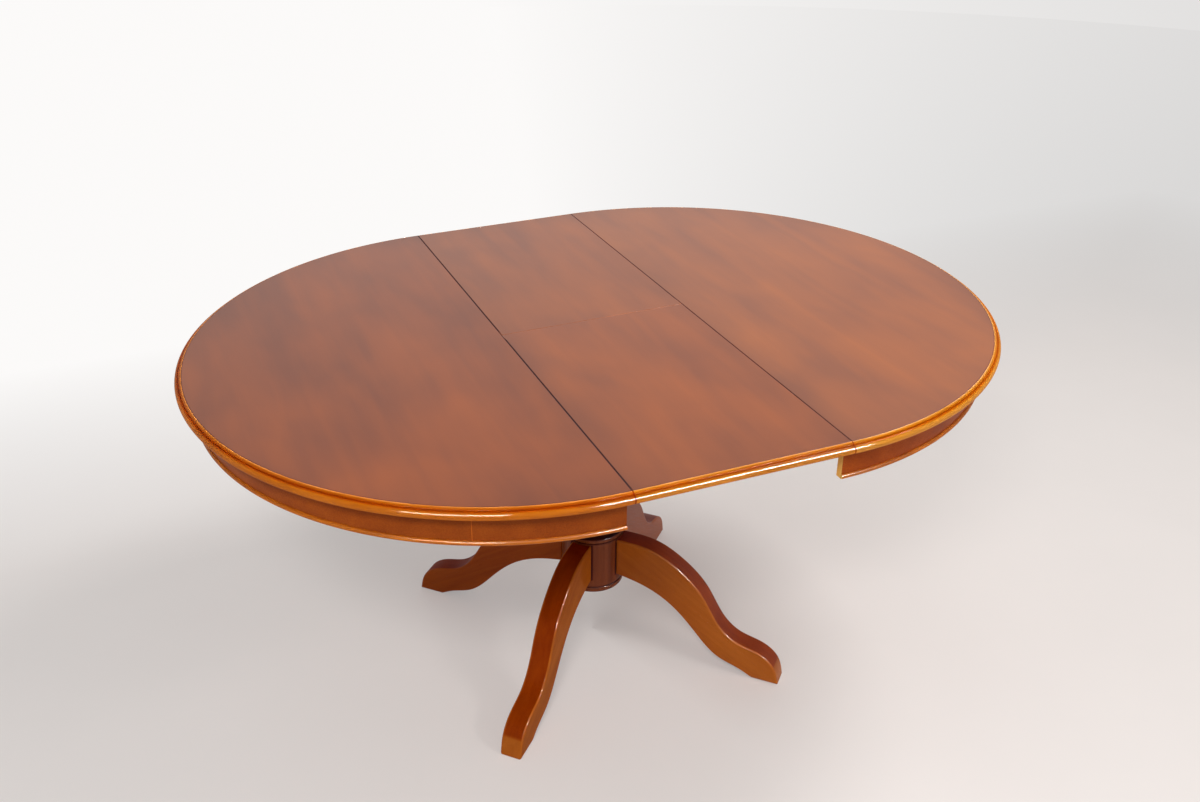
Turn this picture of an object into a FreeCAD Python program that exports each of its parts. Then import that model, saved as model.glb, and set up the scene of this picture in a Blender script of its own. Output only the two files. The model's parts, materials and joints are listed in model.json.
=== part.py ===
"""Round extending dining table on one turned pedestal, with a folding leaf between its two half tops.

Millimetres. X is the direction in which the halves are pulled apart, +Y runs to the rear edge and +Z is up.
The origin is on the floor under the column. Right half and rear leaf are drawn as they lie, and the left
half and the front leaf are the same pieces turned half a turn about the column.
"""
import FreeCAD
import Part
import Sketcher
import math
import os
import re
from FreeCAD import Placement, Rotation, Vector

SIZES = {
    # Top and leaf
    "top_height": 760.0,
    "top_radius": 600.0,
    "top_thickness": 19.0,
    "leaf_width": 380.0,
    "seam_gap": 0.6,
    "edge_width": 13.0,
    "nose_depth": 6.4,
    "quirk_drop": 4.6,
    "quirk_width": 1.2,
    "bevel_drop": 2.6,
    "bevel_land": 0.8,
    # Apron
    "apron_height": 61.0,
    "apron_setback": 30.0,
    "apron_thickness": 13.0,
    "bead_height": 8.5,
    "bead_depth": 4.6,
    "glue_block_width": 24.0,
    "glue_block_height": 22.0,
    "glue_block_angle": 6.0,
    # Slides
    "slide_play": 0.4,
    "running_play": 0.1,
    "rail_spacing": 400.0,
    "rail_width": 28.0,
    "rail_height": 44.0,
    "rail_length": 620.0,
    "groove_depth": 9.0,
    "groove_height": 12.0,
    "groove_rise": 16.0,
    "runner_width": 24.0,
    "runner_height": 40.0,
    "runner_length": 500.0,
    "runner_lap": 200.0,
    "runner_screw_inset": 60.0,
    # Equaliser between the halves
    "gear_module": 3.0,
    "gear_backlash": 1.0,
    "rack_width": 12.0,
    "rack_thickness": 12.0,
    "rack_overlap": 150.0,
    "rack_lead": 75.0,
    "rack_toothed_length": 274.0,
    "rack_spacer_height": 14.0,
    "rack_spacer_length": 80.0,
    "stud_plate_radius": 24.0,
    "stud_plate_thickness": 4.0,
    "stud_post_radius": 9.0,
    "stud_journal_radius": 5.0,
    "stud_groove_radius": 4.0,
    "stud_clip_radius": 9.0,
    "stud_clip_mouth": 7.0,
    "stud_clip_thickness": 1.6,
    # Leaf fittings
    "batten_length": 300.0,
    "batten_width": 40.0,
    "batten_height": 18.0,
    "batten_fold_inset": 80.0,
    "batten_edge_inset": 87.0,
    "barrel_radius": 7.0,
    "barrel_length": 20.0,
    "barrel_spacing": 240.0,
    "barrel_slot_width": 3.0,
    "barrel_slot_depth": 5.0,
    "catch_apron_inset": 157.0,
    "catch_setback": 28.0,
    "catch_reach": 45.0,
    "catch_width": 18.0,
    "catch_thickness": 3.0,
    "catch_lip": 7.0,
    "catch_slot_play": 1.5,
    "catch_stud_radius": 3.0,
    "catch_stud_drop": 6.0,
    "catch_stud_bite": 10.0,
    "pivot_radius": 3.5,
    "pivot_bite": 14.0,
    "pivot_head_radius": 7.0,
    "pivot_head_height": 3.0,
    # Pedestal
    "hub_radius": 66.0,
    "hub_foot": 150.0,
    "hub_height": 134.0,
    "hub_cavity_radius": 36.0,
    "hub_roof": 26.0,
    "hub_edge_round": 3.0,
    "hub_low_ring": 11.0,
    "hub_high_ring": 8.0,
    "hub_groove_width": 3.0,
    "hub_groove_depth": 2.5,
    "cap_radius": 44.0,
    "cap_thickness": 6.0,
    "column_foot_radius": 52.0,
    "column_foot_height": 16.0,
    "column_neck_radius": 42.0,
    "column_cove_height": 26.0,
    "column_collar_radius": 60.0,
    "column_collar_height": 24.0,
    "column_shoulder_radius": 50.0,
    "column_shoulder_height": 20.0,
    "rod_radius": 6.0,
    "rod_nut_radius": 11.0,
    "rod_nut_height": 10.0,
    "rod_washer_radius": 14.0,
    "rod_washer_thickness": 2.0,
    "rod_tail": 5.0,
    "block_width": 180.0,
    "block_thickness": 28.0,
    "bearer_spacing": 150.0,
    "bearer_width": 40.0,
    "bearer_height": 26.0,
    "bearer_length": 460.0,
    "bearer_screw_place": 60.0,
    "column_screw_place": 38.0,
    # Legs
    "leg_reach": 427.0,
    "leg_top": 270.0,
    "leg_thickness": 45.0,
    "leg_arris": 3.0,
    "leg_seat_margin": 1.5,
    "sole_length": 57.0,
    "glide_radius": 14.0,
    "glide_thickness": 4.0,
    "glide_proud": 1.5,
    "bolt_radius": 4.0,
    "bolt_bite": 60.0,
    "bolt_tail": 3.0,
    "bolt_inset": 24.0,
    "bolt_seat_depth": 1.5,
    "bolt_seat_radius": 10.0,
    "bolt_washer_radius": 9.0,
    "bolt_washer_thickness": 1.6,
    "bolt_nut_radius": 7.5,
    "bolt_nut_height": 6.5,
    "dowel_radius": 5.0,
    "dowel_spacing": 22.0,
    "dowel_hub_depth": 14.0,
    "dowel_leg_depth": 26.0,
    # Wood screws and fits
    "screw_radius": 2.5,
    "screw_head_radius": 5.0,
    "screw_head_height": 3.0,
    "column_screw_length": 60.0,
    "bearer_screw_length": 46.0,
    "rail_screw_length": 50.0,
    "runner_screw_length": 52.0,
    "bore_play": 0.2,
    "cut_overrun": 5.0,
}

# Side view of a leg: shares of its reach from the hub, and of its height above the floor gap
LEG_UPPER_SHARES = ((0, 1), (0.09, 1), (0.19, 0.985), (0.365, 0.872), (0.53, 0.655), (0.65, 0.395),
                    (0.737, 0.305), (0.875, 0.25), (0.965, 0.155), (1, 0))
LEG_LOWER_SHARES = ((0, 0.675), (0.18, 0.62), (0.32, 0.525), (0.49, 0.305), (0.647, 0.11), (0.77, 0.05))
LEG_ROOT_SHARE = LEG_LOWER_SHARES[0][1]
LEG_ANGLES = {"rear_right": 45, "rear_left": 135, "front_left": 225, "front_right": 315}

# Places along the half circle of an apron, as shares of a quarter turn
GLUE_BLOCK_SHARES = (-0.84, -0.5, 0, 0.5, 0.84)

# Tooth form of the equaliser, as shares of its module
PINION_TEETH = 16
ADDENDUM_SHARE = 0.8
DEDENDUM_SHARE = 1.0
PRESSURE_ANGLE = math.radians(20)
RACK_FLANK_SHARE = math.tan(PRESSURE_ANGLE)
PINION_FLANK_SHARE = math.tan(PRESSURE_ANGLE + math.pi / PINION_TEETH)

TURNS = {"right": 0, "left": 180, "rear": 0, "front": 180}
HALF_TURN = 180
WHOLE_TURN = 360

# Heights and radii that several pieces share, as formulas of the sizes
UNDER = "(top_height - top_thickness)"
LEAF_UNDER = f"({UNDER} + slide_play)"
FIELD_RADIUS = "(top_radius - edge_width)"
SEAM = "(leaf_width/2 + seam_gap/2)"
LEAF_SIDE = "(leaf_width/2 - seam_gap/2)"
APRON_OUTER = "(top_radius - apron_setback)"
APRON_INNER = f"({APRON_OUTER} - apron_thickness)"
APRON_FOOT = f"({UNDER} - apron_height)"
RAIL_TOP = f"({UNDER} - slide_play)"
RAIL_FOOT = f"({RAIL_TOP} - rail_height)"
GROOVE_FOOT = f"({RAIL_FOOT} + groove_rise)"
BEARER_FOOT = f"({RAIL_FOOT} - bearer_height)"
COLUMN_TOP = f"({BEARER_FOOT} - block_thickness)"
HUB_TOP = "(hub_foot + hub_height)"
CAVITY_TOP = f"({HUB_TOP} - hub_roof)"
HUB_FLAT = "sqrt(hub_radius^2 - leg_thickness^2/4)"
BOLT_SEAT = "(hub_cavity_radius + bolt_seat_depth)"
ROD_BORE = "(rod_radius + bore_play)"
RACK_TOP = f"({UNDER} - rack_spacer_height)"
RACK_FOOT = f"({RACK_TOP} - rack_thickness)"
RACK_END = f"({SEAM} + rack_overlap)"
PITCH_RADIUS = f"(gear_module*{PINION_TEETH}/2)"
TOOTH_PITCH = f"({math.pi}*gear_module)"
RACK_ROOT = f"({PITCH_RADIUS} + {DEDENDUM_SHARE}*gear_module)"
RACK_TIP = f"({PITCH_RADIUS} - {ADDENDUM_SHARE}*gear_module)"
PINION_TIP = f"({PITCH_RADIUS} + {ADDENDUM_SHARE}*gear_module)"
PINION_ROOT = f"({PITCH_RADIUS} - {DEDENDUM_SHARE}*gear_module)"
LEG_FOOT = "glide_proud"
LEG_ROOT = f"({LEG_FOOT} + {LEG_ROOT_SHARE}*(leg_top - {LEG_FOOT}))"
BOLT_HEIGHTS = (f"({LEG_ROOT} + bolt_inset)", "(leg_top - bolt_inset)")
DOWEL_HEIGHT = f"(({LEG_ROOT} + leg_top)/2)"
RUNNER_START = "(rail_length/2 - runner_lap)"
RUNNER_FOOT = f"({UNDER} - runner_height)"
CATCH_PIVOT = f"({SEAM} + catch_setback)"
CATCH_PLACE = f"({APRON_INNER} - catch_apron_inset)"
CATCH_TOP = f"({UNDER} - slide_play)"
CATCH_FOOT = f"({CATCH_TOP} - catch_thickness)"

doc = FreeCAD.newDocument("pedestal_table")
sheet = doc.addObject("Spreadsheet::Sheet", "Sizes")
for row, (alias, value) in enumerate(SIZES.items(), start=1):
    sheet.set(f"A{row}", alias.replace("_", " "))
    sheet.set(f"B{row}", str(value))
    sheet.setAlias(f"B{row}", alias)
doc.recompute()

sub_parts = []


def refer(formula):
    """Formula with every size name turned into a reference to its cell."""
    return re.sub(r"[a-z_]+", lambda word: f"Sizes.{word.group()}" if word.group() in SIZES
                  else word.group(), formula)


def number(formula):
    """Present value of a formula of sizes."""
    return float(sheet.evalExpression(refer(formula)))


AXES = {
    "z": Rotation(),
    "-z": Rotation(Vector(1, 0, 0), HALF_TURN),
    "x": Rotation(Vector(0, 1, 0), HALF_TURN / 2),
    "y": Rotation(Vector(1, 0, 0), -HALF_TURN / 2),
}


def pose(piece, at=("0", "0", "0"), axis="z", turn=0):
    """Lay a piece's own Z along an axis, move it and then turn it about the column."""
    swing = math.radians(turn)
    cosine, sine = round(math.cos(swing), 12), round(math.sin(swing), 12)
    along, across, up = at
    piece.Placement = Placement(Vector(), Rotation(Vector(0, 0, 1), turn) * AXES[axis])
    piece.setExpression("Placement.Base.x", refer(f"{cosine}*({along}) - {sine}*({across})"))
    piece.setExpression("Placement.Base.y", refer(f"{sine}*({along}) + {cosine}*({across})"))
    piece.setExpression("Placement.Base.z", refer(up))
    return piece


def primitive(kind, name, sizes, at=("0", "0", "0"), axis="z", turn=0):
    """Part primitive with bound sizes."""
    piece = doc.addObject(f"Part::{kind}", name)
    for prop, formula in sizes.items():
        piece.setExpression(prop, refer(formula))
    return pose(piece, at, axis, turn)


def box(name, low, size, turn=0):
    return primitive("Box", name, dict(zip(("Length", "Width", "Height"), size)), low, "z", turn)


def rod(name, foot, radius, length, axis="z", turn=0):
    return primitive("Cylinder", name, {"Radius": radius, "Height": length}, foot, axis, turn)


def hexagon(name, foot, radius, height, axis="z", turn=0):
    return primitive("Prism", name, {"Circumradius": radius, "Height": height}, foot, axis, turn)


def bundle(name, pieces):
    """Separate solids kept together as one object."""
    group = doc.addObject("Part::Compound", name)
    group.Links = pieces
    return group


def joined(name, pieces):
    whole = doc.addObject("Part::MultiFuse", name)
    whole.Shapes = pieces
    whole.Refine = True
    return whole


def cut(name, base, tools):
    result = doc.addObject("Part::Cut", name)
    result.Base = base
    result.Tool = bundle(f"{name}_cutters", tools)
    return result


def keep(piece, label):
    """Enter a finished piece under the name of its file."""
    piece.Label = label
    sub_parts.append(piece)
    return piece


def tube(name, foot, inner, outer, length, axis="z", turn=0):
    """Washer or ring: a rod with a rod taken out of it."""
    body = rod(f"{name}_body", foot, outer, length, axis, turn)
    bore = rod(f"{name}_bore", foot, inner, length, axis, turn)
    return cut(name, body, [bore])


def arc_of(start, end, radius, bend):
    """Arc from start to end: bend is 1 where it curves left and -1 where it curves right."""
    chord = end - start
    left = Vector(-chord.y, chord.x, 0).normalize()
    rise = math.sqrt(max(radius ** 2 - (chord.Length / 2) ** 2, 0))
    centre = (start + end) * 0.5 + left * (bend * rise)
    first, last = (start, end) if bend > 0 else (end, start)
    begin = math.atan2(first.y - centre.y, first.x - centre.x)
    finish = math.atan2(last.y - centre.y, last.x - centre.x)
    if finish <= begin:
        finish += math.tau
    return Part.ArcOfCircle(Part.Circle(centre, Vector(0, 0, 1), radius), begin, finish)


def outline(body, name, plane, corners, arcs=None):
    """Closed sketch on a plane of the body, each corner held by two bound distances from the origin.

    arcs gives the sides that are round: side number to (radius formula, bend).
    """
    arcs = arcs or {}
    sketch = body.newObject("Sketcher::SketchObject", name)
    support = [feature for feature in body.Origin.OriginFeatures if feature.Role == plane]
    sketch.AttachmentSupport = [(support[0], "")]
    sketch.MapMode = "FlatFace"
    points = [Vector(number(x), number(y), 0) for x, y in corners]
    ends = []
    for side, start in enumerate(points):
        end = points[(side + 1) % len(points)]
        if side in arcs:
            radius, bend = arcs[side]
            sketch.addGeometry(arc_of(start, end, number(radius), bend))
            ends.append((1, 2) if bend > 0 else (2, 1))
        else:
            sketch.addGeometry(Part.LineSegment(start, end))
            ends.append((1, 2))
    rules = []
    bound = []
    for side, (first, last) in enumerate(ends):
        following = (side + 1) % len(ends)
        rules.append(Sketcher.Constraint("Coincident", side, last, following, ends[following][0]))
        for kind, formula, place, axis in (("DistanceX", corners[side][0], points[side].x, -2),
                                           ("DistanceY", corners[side][1], points[side].y, -1)):
            if formula == "0":
                rules.append(Sketcher.Constraint("PointOnObject", side, first, axis))
            else:
                bound.append((len(rules), formula))
                rules.append(Sketcher.Constraint(kind, -1, 1, side, first, place))
        if side in arcs:
            bound.append((len(rules), arcs[side][0]))
            rules.append(Sketcher.Constraint("Radius", side, number(arcs[side][0])))
    sketch.addConstraint(rules)
    for rule, formula in bound:
        sketch.setExpression(f"Constraints[{rule}]", refer(formula))
    return sketch


def turning(name, corners, arcs=None, angle=None):
    """Body turned about Z from an outline of (radius, height) corners, or part of a turn about +X."""
    body = doc.addObject("PartDesign::Body", name)
    sketch = outline(body, f"{name}_outline", "XZ_Plane", corners, arcs)
    revolution = body.newObject("PartDesign::Revolution", f"{name}_turn")
    revolution.Profile = sketch
    revolution.ReferenceAxis = (sketch, ["V_Axis"])
    if angle is None:
        revolution.Angle = WHOLE_TURN
    else:
        revolution.Midplane = True
        revolution.setExpression("Angle", refer(angle))
    return body


def bar(name, corners, length, arcs=None, plane="YZ_Plane", centred=True):
    """Body of constant section, padded from an outline."""
    body = doc.addObject("PartDesign::Body", name)
    sketch = outline(body, f"{name}_outline", plane, corners, arcs)
    pad = body.newObject("PartDesign::Pad", f"{name}_pad")
    pad.Profile = sketch
    pad.Midplane = centred
    pad.setExpression("Length", refer(length))
    return body


def rectangle(low, high):
    (x0, y0), (x1, y1) = low, high
    return ((x0, y0), (x1, y0), (x1, y1), (x0, y1))


def wood_screw(name, head, length, axis="z", play="0"):
    """Countersunk screw with its head's face at head; with play it is the cutter for its hole."""
    shank = rod(f"{name}_shank", head, f"screw_radius + {play}", f"{length} + {play}", axis)
    taper = {"Radius1": f"screw_head_radius + {play}", "Radius2": f"screw_radius + {play}",
             "Height": "screw_head_height"}
    return joined(name, [shank, primitive("Cone", f"{name}_head", taper, head, axis)])


def screw_set(label, heads, length, axis="z", turn=0):
    """Group of like screws, and the cutters for their holes."""
    group = bundle(label, [wood_screw(f"{label}_{count}", head, length, axis)
                           for count, head in enumerate(heads)])
    keep(pose(group, turn=turn), label)
    return [wood_screw(f"{label}_hole_{count}", head, length, axis, "bore_play")
            for count, head in enumerate(heads)]


def mirrored_places(along, across, height):
    """The four places at plus and minus along and across."""
    return [(f"{i}*{along}", f"{j}*{across}", height) for i in (1, -1) for j in (1, -1)]


def edge_outline():
    """Section of the top's edge: bevelled land, quirk and bullnose, from the field outwards."""
    quirk = "(top_height - quirk_drop)"
    nose_chord = f"({quirk} - {UNDER})"
    nose_foot = "(top_radius - nose_depth)"
    nose_radius = f"({nose_chord}^2/4 + nose_depth^2)/(2*nose_depth)"
    shelf = f"({nose_foot} - quirk_width)"
    corners = ((FIELD_RADIUS, UNDER), (nose_foot, UNDER), (nose_foot, quirk), (shelf, quirk),
               (shelf, "top_height - bevel_drop"), (f"{FIELD_RADIUS} + bevel_land", "top_height"),
               (FIELD_RADIUS, "top_height"))
    return corners, {1: (nose_radius, 1)}


def half_ring(label, corners, turn, arcs=None, holes=None):
    """Half-round piece centred on the seam of its half."""
    body = turning(f"{label}_ring", corners, arcs, str(HALF_TURN))
    pose(body, (SEAM, "0", "0"))
    piece = cut(label, body, holes) if holes else bundle(label, [body])
    return keep(pose(piece, turn=turn), label)


def make_apron(side, turn):
    """Half-round apron with the bead under its face and the glue blocks behind it."""
    half_ring(f"apron_{side}", rectangle((APRON_INNER, APRON_FOOT), (APRON_OUTER, UNDER)), turn)
    bead_radius = "(bead_height^2/4 + bead_depth^2)/(2*bead_depth)"
    bead_top = f"{APRON_FOOT} + bead_height"
    half_ring(f"apron_bead_{side}", ((APRON_OUTER, APRON_FOOT), (APRON_OUTER, bead_top)), turn,
              {0: (bead_radius, 1)})
    blocks = []
    inner = f"({APRON_INNER} - glue_block_width)"
    corners = ((inner, UNDER), (APRON_INNER, f"{UNDER} - glue_block_height"), (APRON_INNER, UNDER))
    for count, share in enumerate(GLUE_BLOCK_SHARES):
        block = turning(f"glue_block_{side}_{count}", corners, None, "glue_block_angle")
        block.Placement = Placement(Vector(), Rotation(Vector(0, 0, 1), share * HALF_TURN / 2))
        block.setExpression("Placement.Base.x", refer(SEAM))
        blocks.append(block)
    keep(pose(bundle(f"glue_blocks_{side}", blocks), turn=turn), f"glue_blocks_{side}")


def runner_outline(face):
    """Section of a runner behind a rail's face, with its tongue in the rail's groove."""
    near = f"({face} + slide_play)"
    far = f"({near} + runner_width)"
    tip = f"({face} - groove_depth + slide_play)"
    low = f"({GROOVE_FOOT} + slide_play)"
    high = f"({GROOVE_FOOT} + groove_height - slide_play)"
    return ((near, RUNNER_FOOT), (far, RUNNER_FOOT), (far, UNDER), (near, UNDER), (near, high), (tip, high),
            (tip, low), (near, low))


def make_runners(side, turn):
    """Two runners, outside the rear rail and inside the front one, and the screws that hold them up."""
    rear_face = "(rail_spacing/2 + rail_width/2)"
    front_face = "(-rail_spacing/2 + rail_width/2)"
    bodies = []
    heads = []
    for end, face in (("rear", rear_face), ("front", front_face)):
        runner = bar(f"runner_{side}_{end}", runner_outline(face), "runner_length", centred=False)
        pose(runner, (RUNNER_START, "0", "0"))
        bodies.append(runner)
        middle = f"{face} + slide_play + runner_width/2"
        screw_start = f"({SEAM} + runner_screw_inset)"
        screw_end = f"({RUNNER_START} + runner_length - runner_screw_inset)"
        heads += [(screw_start, middle, RUNNER_FOOT), (screw_end, middle, RUNNER_FOOT)]
    holes = screw_set(f"runner_screws_{side}", heads, "runner_screw_length", turn=turn)
    runners = cut(f"runners_{side}", bundle(f"runners_{side}_plain", bodies), holes)
    keep(pose(runners, turn=turn), f"runners_{side}")
    return holes


def make_rack(side, turn):
    """Toothed rack on the front side of the pinion, and the spacer that hangs it from the top."""
    gaps = int(number(f"rack_toothed_length/{TOOTH_PITCH}"))
    gaps_ahead = int(number(f"rack_lead/{TOOTH_PITCH}"))
    lead = f"({gaps_ahead + 1}*{TOOTH_PITCH})"
    back = f"({RACK_ROOT} + rack_width)"
    body = bar(f"rack_{side}", rectangle((f"-{lead}", f"-{back}"), (RACK_END, f"-{RACK_TIP}")),
               "rack_thickness", None, "XY_Plane", False)
    middle = f"(-{gaps_ahead}*{TOOTH_PITCH})"
    at_pitch = f"({TOOTH_PITCH}/4)"
    narrow = f"({at_pitch} - {DEDENDUM_SHARE * RACK_FLANK_SHARE}*gear_module)"
    wide = f"({at_pitch} + {ADDENDUM_SHARE * RACK_FLANK_SHARE}*gear_module)"
    gap = outline(body, f"rack_{side}_gap", "XY_Plane",
                  ((f"{middle} - {narrow}", f"-{RACK_ROOT}"), (f"{middle} + {narrow}", f"-{RACK_ROOT}"),
                   (f"{middle} + {wide}", f"-{RACK_TIP}"), (f"{middle} - {wide}", f"-{RACK_TIP}")))
    pocket = body.newObject("PartDesign::Pocket", f"rack_{side}_tooth_gap")
    pocket.Profile = gap
    pocket.Reversed = True
    pocket.setExpression("Length", refer("rack_thickness"))
    row = body.newObject("PartDesign::LinearPattern", f"rack_{side}_teeth")
    row.Originals = [pocket]
    row.Direction = (gap, ["H_Axis"])
    row.Occurrences = gaps
    row.setExpression("Length", refer(f"{gaps - 1}*{TOOTH_PITCH}"))
    body.Tip = row
    keep(pose(body, ("0", "0", RACK_FOOT), turn=turn), f"rack_{side}")
    spacer = box(f"rack_spacer_{side}_bar", (f"{RACK_END} - rack_spacer_length", f"-{back}", RACK_TOP),
                 ("rack_spacer_length", "rack_width", "rack_spacer_height"))
    keep(pose(bundle(f"rack_spacer_{side}_set", [spacer]), turn=turn), f"rack_spacer_{side}")


def catch_places(turn):
    """Ends of the table and the Y of their catches before the turn."""
    sign = -1 if turn else 1
    return (("rear", f"({sign}*{CATCH_PLACE})"), ("front", f"(-{sign}*{CATCH_PLACE})"))


def make_catches(side, turn):
    """Swinging hooks under a half top, drawn released along the seam, and their pivot screws."""
    pivots = []
    holes = []
    for end, place in catch_places(turn):
        label = f"catch_{side}_{end}"
        half = "catch_width/2"
        slot = "(catch_stud_radius + catch_slot_play)"
        tip = f"({place} + catch_reach + {slot} + catch_lip)"
        arm_low = (f"{CATCH_PIVOT} - {half}", place, CATCH_FOOT)
        arm = box(f"{label}_arm", arm_low, ("catch_width", f"{tip} - {place}", "catch_thickness"))
        eye = rod(f"{label}_eye", (CATCH_PIVOT, place, CATCH_FOOT), half, "catch_thickness")
        stud_place = f"({place} + catch_reach)"
        bore = rod(f"{label}_bore", (CATCH_PIVOT, place, CATCH_FOOT), "pivot_radius + running_play",
                   "catch_thickness")
        slot_end = rod(f"{label}_slot_end", (CATCH_PIVOT, stud_place, CATCH_FOOT), slot, "catch_thickness")
        slot_low = (f"{CATCH_PIVOT} - {half} - cut_overrun", f"{stud_place} - {slot}", CATCH_FOOT)
        mouth = box(f"{label}_mouth", slot_low, (f"{half} + cut_overrun", f"2*{slot}", "catch_thickness"))
        hook = cut(label, joined(f"{label}_plain", [arm, eye]), [bore, slot_end, mouth])
        keep(pose(hook, turn=turn), label)
        head_top = f"({CATCH_FOOT} - slide_play)"
        length = f"({UNDER} + pivot_bite - {head_top})"
        pin = rod(f"{label}_pin", (CATCH_PIVOT, place, head_top), "pivot_radius", length)
        head = rod(f"{label}_head", (CATCH_PIVOT, place, f"{head_top} - pivot_head_height"),
                   "pivot_head_radius", "pivot_head_height")
        pivots.append(joined(f"{label}_pivot", [pin, head]))
        holes.append(rod(f"{label}_pivot_hole", (CATCH_PIVOT, place, UNDER), "pivot_radius + bore_play",
                         "pivot_bite + bore_play"))
    keep(pose(bundle(f"catch_pivots_{side}_set", pivots), turn=turn), f"catch_pivots_{side}")
    return holes


def make_half(side):
    """Everything that slides with one half of the top."""
    turn = TURNS[side]
    holes = make_runners(side, turn) + make_catches(side, turn)
    half_ring(f"top_panel_{side}", rectangle(("0", UNDER), (FIELD_RADIUS, "top_height")), turn, None, holes)
    corners, arcs = edge_outline()
    half_ring(f"edge_moulding_{side}", corners, turn, arcs)
    make_apron(side, turn)
    make_rack(side, turn)


def make_leaf(end):
    """Half of the leaf, from its fold to its outer edge, with battens, hinge barrels and catch studs."""
    turn = TURNS[end]
    fold = "(seam_gap/2)"
    panel = box(f"leaf_{end}_board", (f"-{LEAF_SIDE}", fold, LEAF_UNDER),
                (f"2*{LEAF_SIDE}", f"{FIELD_RADIUS} - {fold}", f"top_height - {LEAF_UNDER}"))
    barrel_height = "(top_height - top_thickness/2)"
    barrels = []
    bores = []
    for count, along in enumerate(("-barrel_spacing/2", "barrel_spacing/2")):
        name = f"leaf_{end}_barrel_{count}"
        foot = (along, fold, barrel_height)
        plug = rod(name, foot, "barrel_radius", "barrel_length", "y")
        slot_low = (f"{along} - barrel_slot_width/2", fold, f"{barrel_height} - barrel_radius")
        slot = box(f"{name}_slot", slot_low, ("barrel_slot_width", "barrel_slot_depth", "2*barrel_radius"))
        barrels.append(cut(f"{name}_slotted", plug, [slot]))
        bores.append(rod(f"{name}_bore", foot, "barrel_radius + bore_play", "barrel_length + bore_play",
                         "y"))
    studs = []
    for count, along in enumerate((f"-({CATCH_PIVOT} - catch_reach)", f"({CATCH_PIVOT} - catch_reach)")):
        foot = (along, CATCH_PLACE, f"{LEAF_UNDER} - catch_stud_drop")
        studs.append(rod(f"leaf_{end}_stud_{count}", foot, "catch_stud_radius",
                         "catch_stud_drop + catch_stud_bite"))
        bores.append(rod(f"leaf_{end}_stud_hole_{count}", (along, CATCH_PLACE, LEAF_UNDER),
                         "catch_stud_radius + bore_play", "catch_stud_bite + bore_play"))
    keep(pose(cut(f"leaf_panel_{end}", panel, bores), turn=turn), f"leaf_panel_{end}")
    corners, arcs = edge_outline()
    moulding = bar(f"leaf_moulding_{end}", corners, f"2*{LEAF_SIDE}", arcs)
    keep(pose(moulding, turn=turn), f"leaf_moulding_{end}")
    battens = [box(f"leaf_{end}_batten_{count}",
                   ("-batten_length/2", f"{place} - batten_width/2", f"{LEAF_UNDER} - batten_height"),
                   ("batten_length", "batten_width", "batten_height"))
               for count, place in enumerate(("batten_fold_inset", f"{FIELD_RADIUS} - batten_edge_inset"))]
    keep(pose(bundle(f"leaf_{end}_battens", battens), turn=turn), f"leaf_battens_{end}")
    keep(pose(bundle(f"leaf_{end}_barrels", barrels), turn=turn), f"leaf_hinge_barrels_{end}")
    keep(pose(bundle(f"leaf_{end}_studs", studs), turn=turn), f"catch_studs_{end}")


def make_pinion():
    """Equaliser pinion, a tooth towards each rack, with the stud it turns on and its spring clip."""
    bore = "stud_journal_radius + running_play"
    body = turning("pinion", rectangle((bore, "0"), (PINION_TIP, "rack_thickness")))
    at_pitch = f"({TOOTH_PITCH}/4 + gear_backlash)"
    narrow = f"({at_pitch} - {DEDENDUM_SHARE * PINION_FLANK_SHARE}*gear_module)"
    far = f"({PINION_TIP} + cut_overrun)"
    wide = f"({at_pitch} + {PINION_FLANK_SHARE}*({far} - {PITCH_RADIUS}))"
    gap = outline(body, "pinion_gap", "XY_Plane",
                  ((PINION_ROOT, f"-{narrow}"), (far, f"-{wide}"), (far, wide), (PINION_ROOT, narrow)))
    pocket = body.newObject("PartDesign::Pocket", "pinion_tooth_gap")
    pocket.Profile = gap
    pocket.Reversed = True
    pocket.setExpression("Length", refer("rack_thickness"))
    wheel = body.newObject("PartDesign::PolarPattern", "pinion_teeth")
    wheel.Originals = [pocket]
    wheel.Axis = (gap, ["N_Axis"])
    wheel.Angle = WHOLE_TURN
    wheel.Occurrences = PINION_TEETH
    body.Tip = wheel
    keep(pose(body, ("0", "0", RACK_FOOT), turn=HALF_TURN / PINION_TEETH), "equaliser_pinion")
    shoulder = f"({RACK_FOOT} - slide_play)"
    clip_foot = f"({RACK_TOP} + slide_play)"
    clip_top = f"({clip_foot} + stud_clip_thickness)"
    journal_top = f"({clip_top} + stud_clip_thickness)"
    plate_top = f"({BEARER_FOOT} + stud_plate_thickness)"
    stud = turning("stud", (("0", BEARER_FOOT), ("stud_plate_radius", BEARER_FOOT),
                            ("stud_plate_radius", plate_top), ("stud_post_radius", plate_top),
                            ("stud_post_radius", shoulder), ("stud_journal_radius", shoulder),
                            ("stud_journal_radius", clip_foot), ("stud_groove_radius", clip_foot),
                            ("stud_groove_radius", clip_top), ("stud_journal_radius", clip_top),
                            ("stud_journal_radius", journal_top), ("0", journal_top)))
    keep(stud, "pinion_stud")
    ring = tube("stud_clip_ring", ("0", "0", clip_foot), "stud_groove_radius + running_play",
                "stud_clip_radius", "stud_clip_thickness")
    mouth = box("stud_clip_mouth", ("0", "-stud_clip_mouth/2", clip_foot),
                ("stud_clip_radius", "stud_clip_mouth", "stud_clip_thickness"))
    keep(cut("stud_clip", ring, [mouth]), "pinion_clip")


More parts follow.
